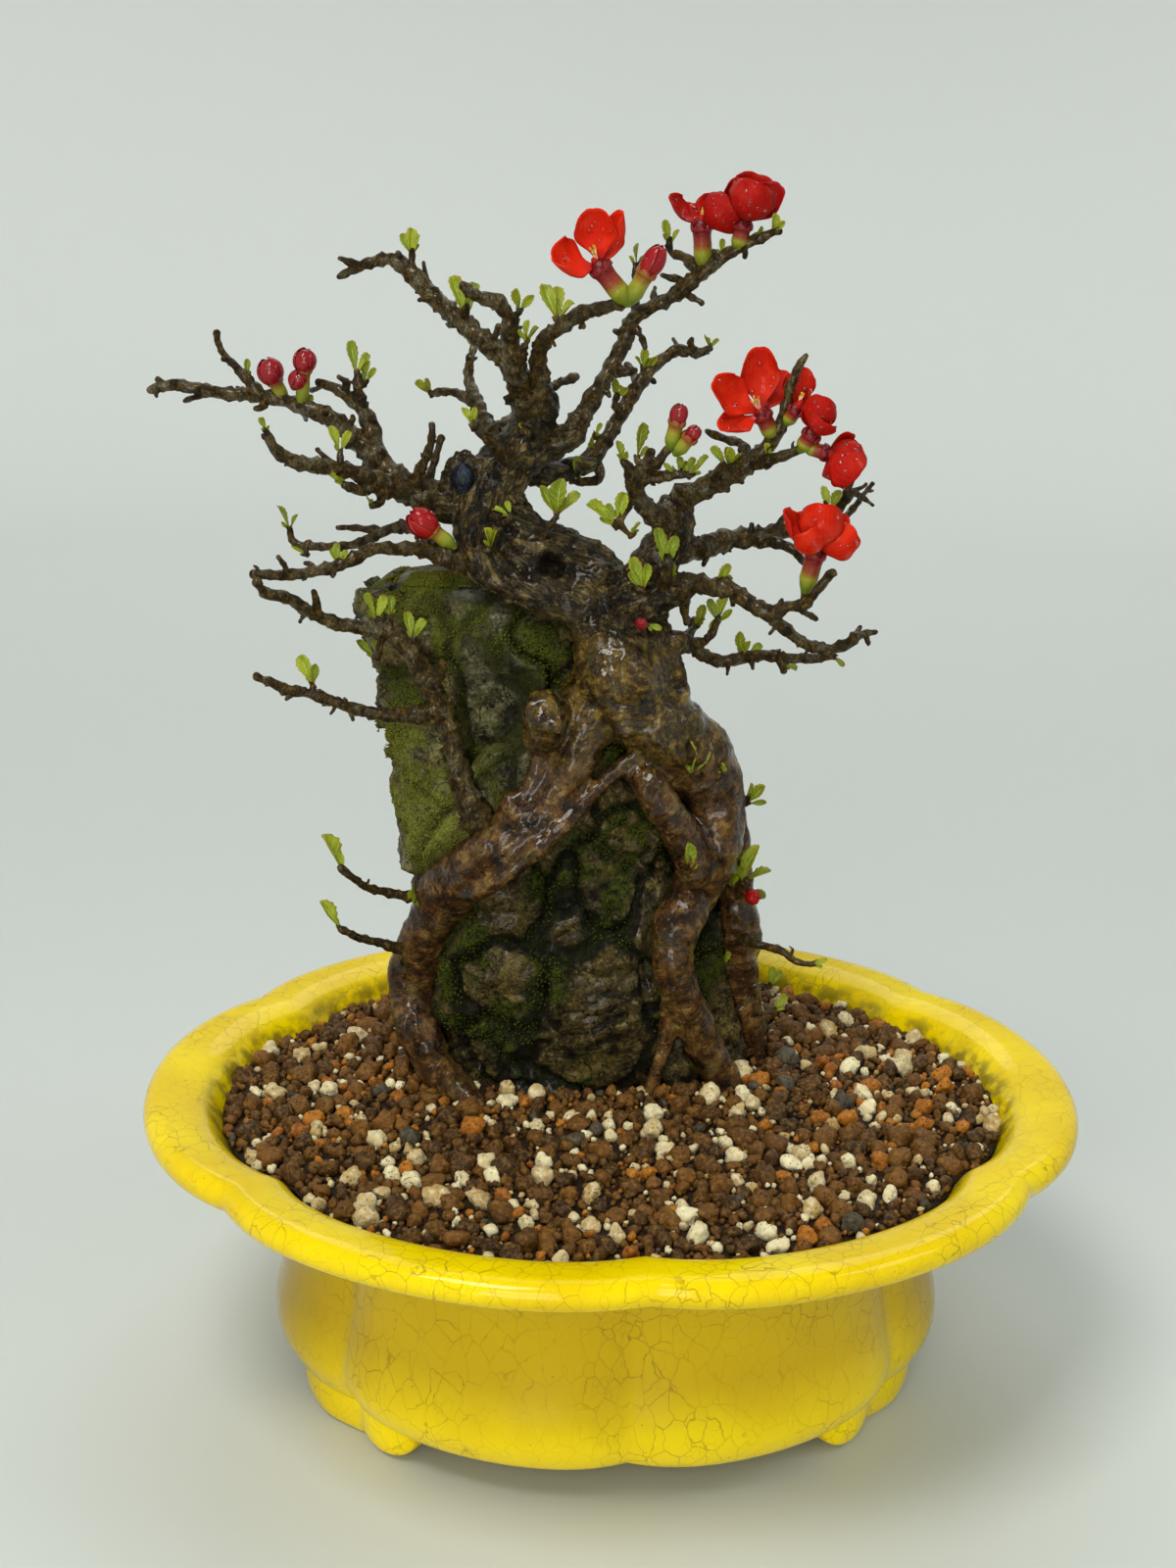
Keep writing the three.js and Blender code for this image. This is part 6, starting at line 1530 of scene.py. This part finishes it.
def makeBlooms():
    finishes = [petalScarlet(), stamenFinish(), antherFinish()]
    pieces = []
    for number, (name, petals) in enumerate(petalSets.items()):
        growth, draw = Growth(), np.random.default_rng(50 + number)
        mouth, axis, radius = bloomCups[bloomSeats[name]]
        heart = mouth + axis * 0.6
        depth = (heart @ toPot.T)[1]
        tips = [seen(ax, ay, depth + away) for ax, ay, away, *_ in petals]
        middle = np.mean([unit(tip - heart) for tip in tips], axis=0)
        facing = unit(unit(middle) + axis * 0.5 + toEye * (0.9 if name == "bloom_right_open" else 0.25))
        reach = np.mean([np.linalg.norm(tip - heart) for tip in tips])
        points, faces, _ = stemShape([(*(mouth - axis * 0.3), radius * 0.72),
                                      (*(heart + axis * 0.4), radius * 0.62),
                                      (*(heart + axis * 1.3), radius * 0.3)], 0.4, 14, number, 0.05)
        growth.add(points, faces, 0, along=0.1, across=0, tone=0.5)
        for k, (tip, (*_, wide, hollow, turned)) in enumerate(zip(tips, petals)):
            out = unit(tip - heart)
            foot = heart + unit(out - facing * 0.4 * np.dot(out, facing)) * radius * 0.4
            inward = unit(heart + facing * reach * 0.9 - (foot + tip) / 2) * (1 - abs(turned)) + toEye * turned
            points, faces, run, side, grid = petalShape(foot, tip, inward, wide / view["perMm"], hollow,
                                                        number * 10 + k)
            growth.add(points, faces, 0, along=run, across=side,
                       tone=scarletDepthAndPaintedLight[name] * 0.75 + 0.25 * draw.random())
            normals = np.cross(np.gradient(grid, axis=1), np.gradient(grid, axis=0))
            for _ in range(bloomForm["beads"]):
                i, j = int(draw.integers(4, petalForm["rows"] - 2)), int(draw.integers(2, petalForm["cols"] - 2))
                normal = unit(normals[i, j])
                normal = normal if np.dot(normal, toEye + upright * 0.4) > 0 else -normal
                dropSpots.append((grid[i, j] + normal * 0.2, normal, draw.uniform(*bloomForm["bead"])))
        side, other = twoAcross(facing, [0.3, 0.2, 1])
        for k in range(bloomForm["stamens"]):
            angle, spread = draw.uniform(0, 2 * math.pi), draw.uniform(0.05, 0.3)
            lean = unit(facing + spread * (math.cos(angle) * side + math.sin(angle) * other))
            tall = reach * draw.uniform(0.16, 0.28)
            start = heart + lean * 0.3
            points, faces, _ = stemShape([(*start, 0.13), (*(start + lean * tall * 0.5 + facing * 0.2), 0.11),
                                          (*(start + lean * tall + facing * 0.4), 0.1)], 0.9, 5, k, 0)
            growth.add(points, faces, 1, along=0.5, across=0, tone=0.5)
            ball, faces = lumpShape(1, k)
            growth.add(ball * [0.22, 0.22, 0.32] + start + lean * tall + facing * 0.5, [faces], 2, along=0.5,
                       across=0, tone=draw.random())
        pieces.append(growth.piece(name.replace("bloom_", "") + "_bloom", finishes, "petal", [name]))
    for number, (name, (bough, seat, radius, tall, dark)) in enumerate(budSeats.items()):
        mouth, axis, _ = bloomCups[bough, seat]
        pieces.append(growBud(mouth, axis, radius, tall, dark, number).piece(name.replace("bud_", "") + "_bud",
                                                                             finishes, "petal", [name]))
    for number, (name, foot, tip, radius, dark) in enumerate(smallBuds):
        bud = growBud(seen(*foot), unit(seen(*tip) - seen(*foot)), radius, 1, dark, 9 + number)
        pieces.append(bud.piece(name, finishes, "petal"))
    report("blooms and buds", *pieces)


# A bud: rounded petals wrapped over one another
def growBud(mouth, axis, radius, tall, dark, seed):
    growth, draw = Growth(), np.random.default_rng(300 + seed)
    side, other = twoAcross(axis, [0.2, 0.9, 0.3])
    middle = mouth + axis * radius * 0.7 * tall
    ball, faces = lumpShape(3, 3)
    ball = ball / np.linalg.norm(ball, axis=1)[:, None]
    basis = np.array([side, other, axis * tall])
    growth.add((ball * [0.9, 0.9, 0.98] * radius * 0.95) @ basis + middle, [faces], 0, along=0.6, across=0,
               tone=0.7, dark=dark)
    growth.add(*stemShape([(*(mouth - axis * 0.2), radius * 0.5), (*(mouth + axis * radius * 0.3), radius * 0.7)],
                          0.3, 14, seed, 0)[:2],
               0, along=0.1, across=0, tone=0.2, dark=dark)
    u, v = np.linspace(0.02, 0.93, 13)[:, None], np.linspace(-1, 1, 11)[None, :]
    for k in range(lobes):
        turned = 2 * math.pi * k / lobes + seed
        around = turned + v * (0.85 * np.sin(math.pi * u) ** 0.6 + 0.1) + 0.5 * (1 - u)
        down = math.pi * (0.97 - 0.93 * u)
        over = radius * (0.98 + 0.07 * v * (0.3 + u) + 0.03 * k % 0.06)
        grid = (np.stack([np.sin(down) * np.cos(around) * 0.92, np.sin(down) * np.sin(around) * 0.92,
                          np.cos(down) + 0 * around], axis=-1)
                * over[..., None]) @ basis + middle
        points, faces = sheetShape(grid, 0.16)
        run, over = sheetMarks(u, v)
        growth.add(points, faces, 0, along=run, across=over, tone=0.4 + draw.random() * 0.5, dark=dark)
    for _ in range(2):
        out = unit(toEye + upright * 0.5 + draw.normal(size=3) * 0.5)
        dropSpots.append((middle + out * radius * 0.98, out, 0.3))
    return growth


def petalScarlet():
    f = Finish("scarlet_petal", Subsurface_Weight=0.06, Subsurface_Scale=0.001, IOR=1.45, Coat_Roughness=0.06,
               Specular_IOR_Level=0.08)
    f.shader.inputs["Subsurface Radius"].default_value = (1.0, 0.16, 0.08)
    along, across, tone, dark = (f.mark(key) for key in ("along", "across", "tone", "dark"))
    # tone: the scarlet's depth, partly painted light on the flowers set paler
    coat = f.mix(tone, "#c92206", "#860608")
    coat = f.mix(f.noise(3, 3).rise(0.4, 0.7) * 0.35 * (1.2 - tone), coat, "#d83810")
    fan = (across * 30 + f.noise(2.5, 2) * 7).wave()
    coat = f.mix(fan.rise(0.4, 1) * along.rise(0.1, 0.8) * 0.08, coat, "#8e0a0a")
    coat = f.mix(along.rise(0.26, 0.02) * 0.6, coat, "#7c0d10")
    coat = f.mix(dark * 0.9, coat, "#7c0a17")
    # petal edges painted darker, as painted shade where the petals overlap
    coat = f.mix(across.size().rise(0.8, 1) * (0.2 + 0.35 * dark), coat, "#4e0609")
    return f.wear(Base_Color=coat, Roughness=0.48 + 0.12 * f.noise(2, 2),
                  Coat_Weight=(0.2 * f.noise(3, 2).rise(0.48, 0.6)).most(dark * 0.6),
                  Normal=f.height(fan * 0.2 + f.noise(1.1, 3) * 1.2, 0.1))


def stamenFinish():
    f = Finish("stamen", Subsurface_Weight=0.1, Subsurface_Scale=0.001)
    return f.wear(Base_Color=f.mix(f.noise(1.5, 2), "#e8a08a", "#f0d0a0"), Roughness=0.5)


def antherFinish():
    f = Finish("anther", Roughness=0.8)
    return f.wear(Base_Color=f.mix(f.mark("tone"), "#a8701a", "#d9b24a"), Normal=f.height(f.noise(0.3, 2), 0.1))


makeBlooms()

sealForm = {"detail": 4, "lump": 0.09}


# Dark paste daubed over two old cuts
def makeSeals():
    finish = Finish("wound_paste", IOR=1.5)
    tone = finish.noise(1.6, 4, 0.6)
    paste = finish.wear(Base_Color=finish.ramp(tone, (0.35, "#05070b"), (0.55, "#101a28"), (0.75, "#22334a")),
                        Roughness=0.3 + 0.35 * finish.noise(2.5, 2),
                        Normal=finish.height(finish.noise(0.9, 4), 0.45))
    pieces = []
    for name, grow in (("wound_seal_left", 1.0), ("wound_seal_top", 1.05)):
        low, high = (np.array(corner) * 1000 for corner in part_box(name))
        points, faces = lumpShape(sealForm["detail"], 1)
        points /= np.linalg.norm(points, axis=1)[:, None]
        points *= 1 + sealForm["lump"] * rough(points * 2, 0.9, 3, 5)[:, None]
        growth = Growth()
        growth.add(points * (high - low) / 2 * grow + (high + low) / 2, [faces])
        pieces.append(growth.piece(name.replace("wound_seal", "paste"), [paste], "seal", [name]))
    report("wound seals", *pieces)


makeSeals()


# Beads of water on petals, leaves and wet roots
def makeDrops():
    f = Finish("water", Transmission_Weight=1.0, IOR=1.33, Roughness=0.02, Specular_IOR_Level=0.8, Coat_Weight=1.0)
    water = f.wear(Base_Color=f.mix(f.noise(4, 1) * 0.1, "#ffffff", "#eef6ff"))
    ball, faces = lumpShape(2, 1)
    ball = ball / np.linalg.norm(ball, axis=1)[:, None]
    beads = Growth()
    for place, normal, radius in dropSpots:
        basis = np.array([*twoAcross(normal, [0.31, 0.2, 0.9]), normal])
        beads.add((ball * [1, 1, 0.62] * radius) @ basis + place, [faces])
    report("water", beads.piece("water_drops", [water], "petal"))


makeDrops()


# Plastic net over the drain holes, and the wires that hold it
def dressDrainage():
    f = Finish("net_plastic", IOR=1.46)
    net = f.wear(Base_Color=f.mix(f.noise(3, 3), "#15191a", "#2c3334"), Roughness=0.5 + 0.2 * f.noise(1, 2),
                 Normal=f.height(f.noise(0.6, 2), 0.1))
    f = Finish("aluminium_wire", Metallic=1.0)
    wire = f.wear(Base_Color=f.mix(f.noise(2, 3), "#6c6152", "#a2978a"), Roughness=0.34 + 0.2 * f.noise(0.8, 2),
                  Normal=f.height(f.noise(0.5, 2), 0.05))
    for side in ("left", "right"):
        for name, finish in ((f"drain_screen_{side}", net), (f"screen_wire_{side}", wire)):
            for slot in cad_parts[name].material_slots:
                slot.material = finish


dressDrainage()

studio = {"floor": 0.95, "bend": 0.5, "tall": 1.9, "sides": 96, "world": 0.31, "worldTint": "#e6eeea",
          # place, size, watts, tint, aimed at
          "lights": [((-0.35, -0.45, 1.05), 0.4, 7.8, "#fffdf8"), ((0.75, -0.3, 0.8), 0.35, 1.4, "#f6fbff"),
                     ((-0.2, -0.75, 0.12), 0.3, 1.6, "#fffaf2"), ((0.1, 0.7, 1.0), 0.9, 4.3, "#ffffff"),
                     ((-0.25, -0.95, 0.6), 0.35, 2.2, "#fffdf6")]}


def setStudio():
    mesh = bpy.data.meshes.new("pale_floor")
    flat, bend, count = studio["floor"], studio["bend"], studio["sides"]
    # a round floor that sweeps up on every side
    rows = [(0.25, 0), (flat, 0)] + [(flat + bend * math.sin(a), bend - bend * math.cos(a))
                                     for a in np.linspace(0.1, 1.57, 14)]
    rows.append((flat + bend, studio["tall"]))
    points = [(r * math.cos(a), r * math.sin(a), z) for r,
              z in rows for a in np.linspace(0, 2 * math.pi, count, endpoint=False)]
    sides = ringFaces(len(rows), count, False)[0].tolist()
    mesh.from_pydata(points, [], sides + [list(range(count))[::-1]])
    mesh.polygons.foreach_set("use_smooth", [True] * len(mesh.polygons))
    floor = bpy.data.objects.new("pale_floor", mesh)
    bpy.context.scene.collection.objects.link(floor)
    f = Finish("pale_floor")
    # paler far off
    away = f.node("ShaderNodeVectorMath", {"operation": "LENGTH"}, {0: f.place}, "Value").rise(300, 1500)
    mesh.materials.append(f.wear(Base_Color=f.mix(away, "#c1c6c3", "#ebeeec"), Roughness=0.6))
    world = bpy.data.worlds.new("pale_room")
    world.use_nodes = True
    sky = world.node_tree.nodes["Background"].inputs
    sky["Color"].default_value, sky["Strength"].default_value = paint(studio["worldTint"]), studio["world"]
    bpy.context.scene.world = world
    for k, (place, size, power, tint) in enumerate(studio["lights"]):
        light = bpy.data.lights.new(f"softbox_{k}", "AREA")
        light.shape, light.size, light.energy, light.color = "SQUARE", size, power, paint(tint)[:3]
        lamp = bpy.data.objects.new(f"softbox_{k}", light)
        lamp.location = place
        lamp.rotation_euler = (Vector((0, 0, 0.1)) - Vector(place)).to_track_quat("-Z", "Y").to_euler()
        bpy.context.scene.collection.objects.link(lamp)


def setCamera():
    forward = np.array([0, math.cos(pitch), -math.sin(pitch)])
    level, over = np.array([1.0, 0, 0]), np.array([0, math.sin(pitch), math.cos(pitch)])
    right = level * math.cos(roll) + over * math.sin(roll)
    up = over * math.cos(roll) - level * math.sin(roll)
    axes = np.array([right, up, -forward]) @ toPot
    eye = np.array(view["eye"]) @ toPot * 0.001
    data = bpy.data.cameras.new("front_view")
    data.sensor_width, data.lens = 36, 36 * view["focal"] / view["tall"]
    camera = bpy.data.objects.new("front_view", data)
    camera.matrix_world = Matrix([[*axes[:, k], eye[k]] for k in range(3)] + [[0, 0, 0, 1]])
    bpy.context.scene.collection.objects.link(camera)
    bpy.context.scene.camera = camera


setStudio()
setCamera()
bpy.context.scene.view_settings.view_transform = "Standard"

# Bring the scene up to date
bpy.context.view_layer.update()
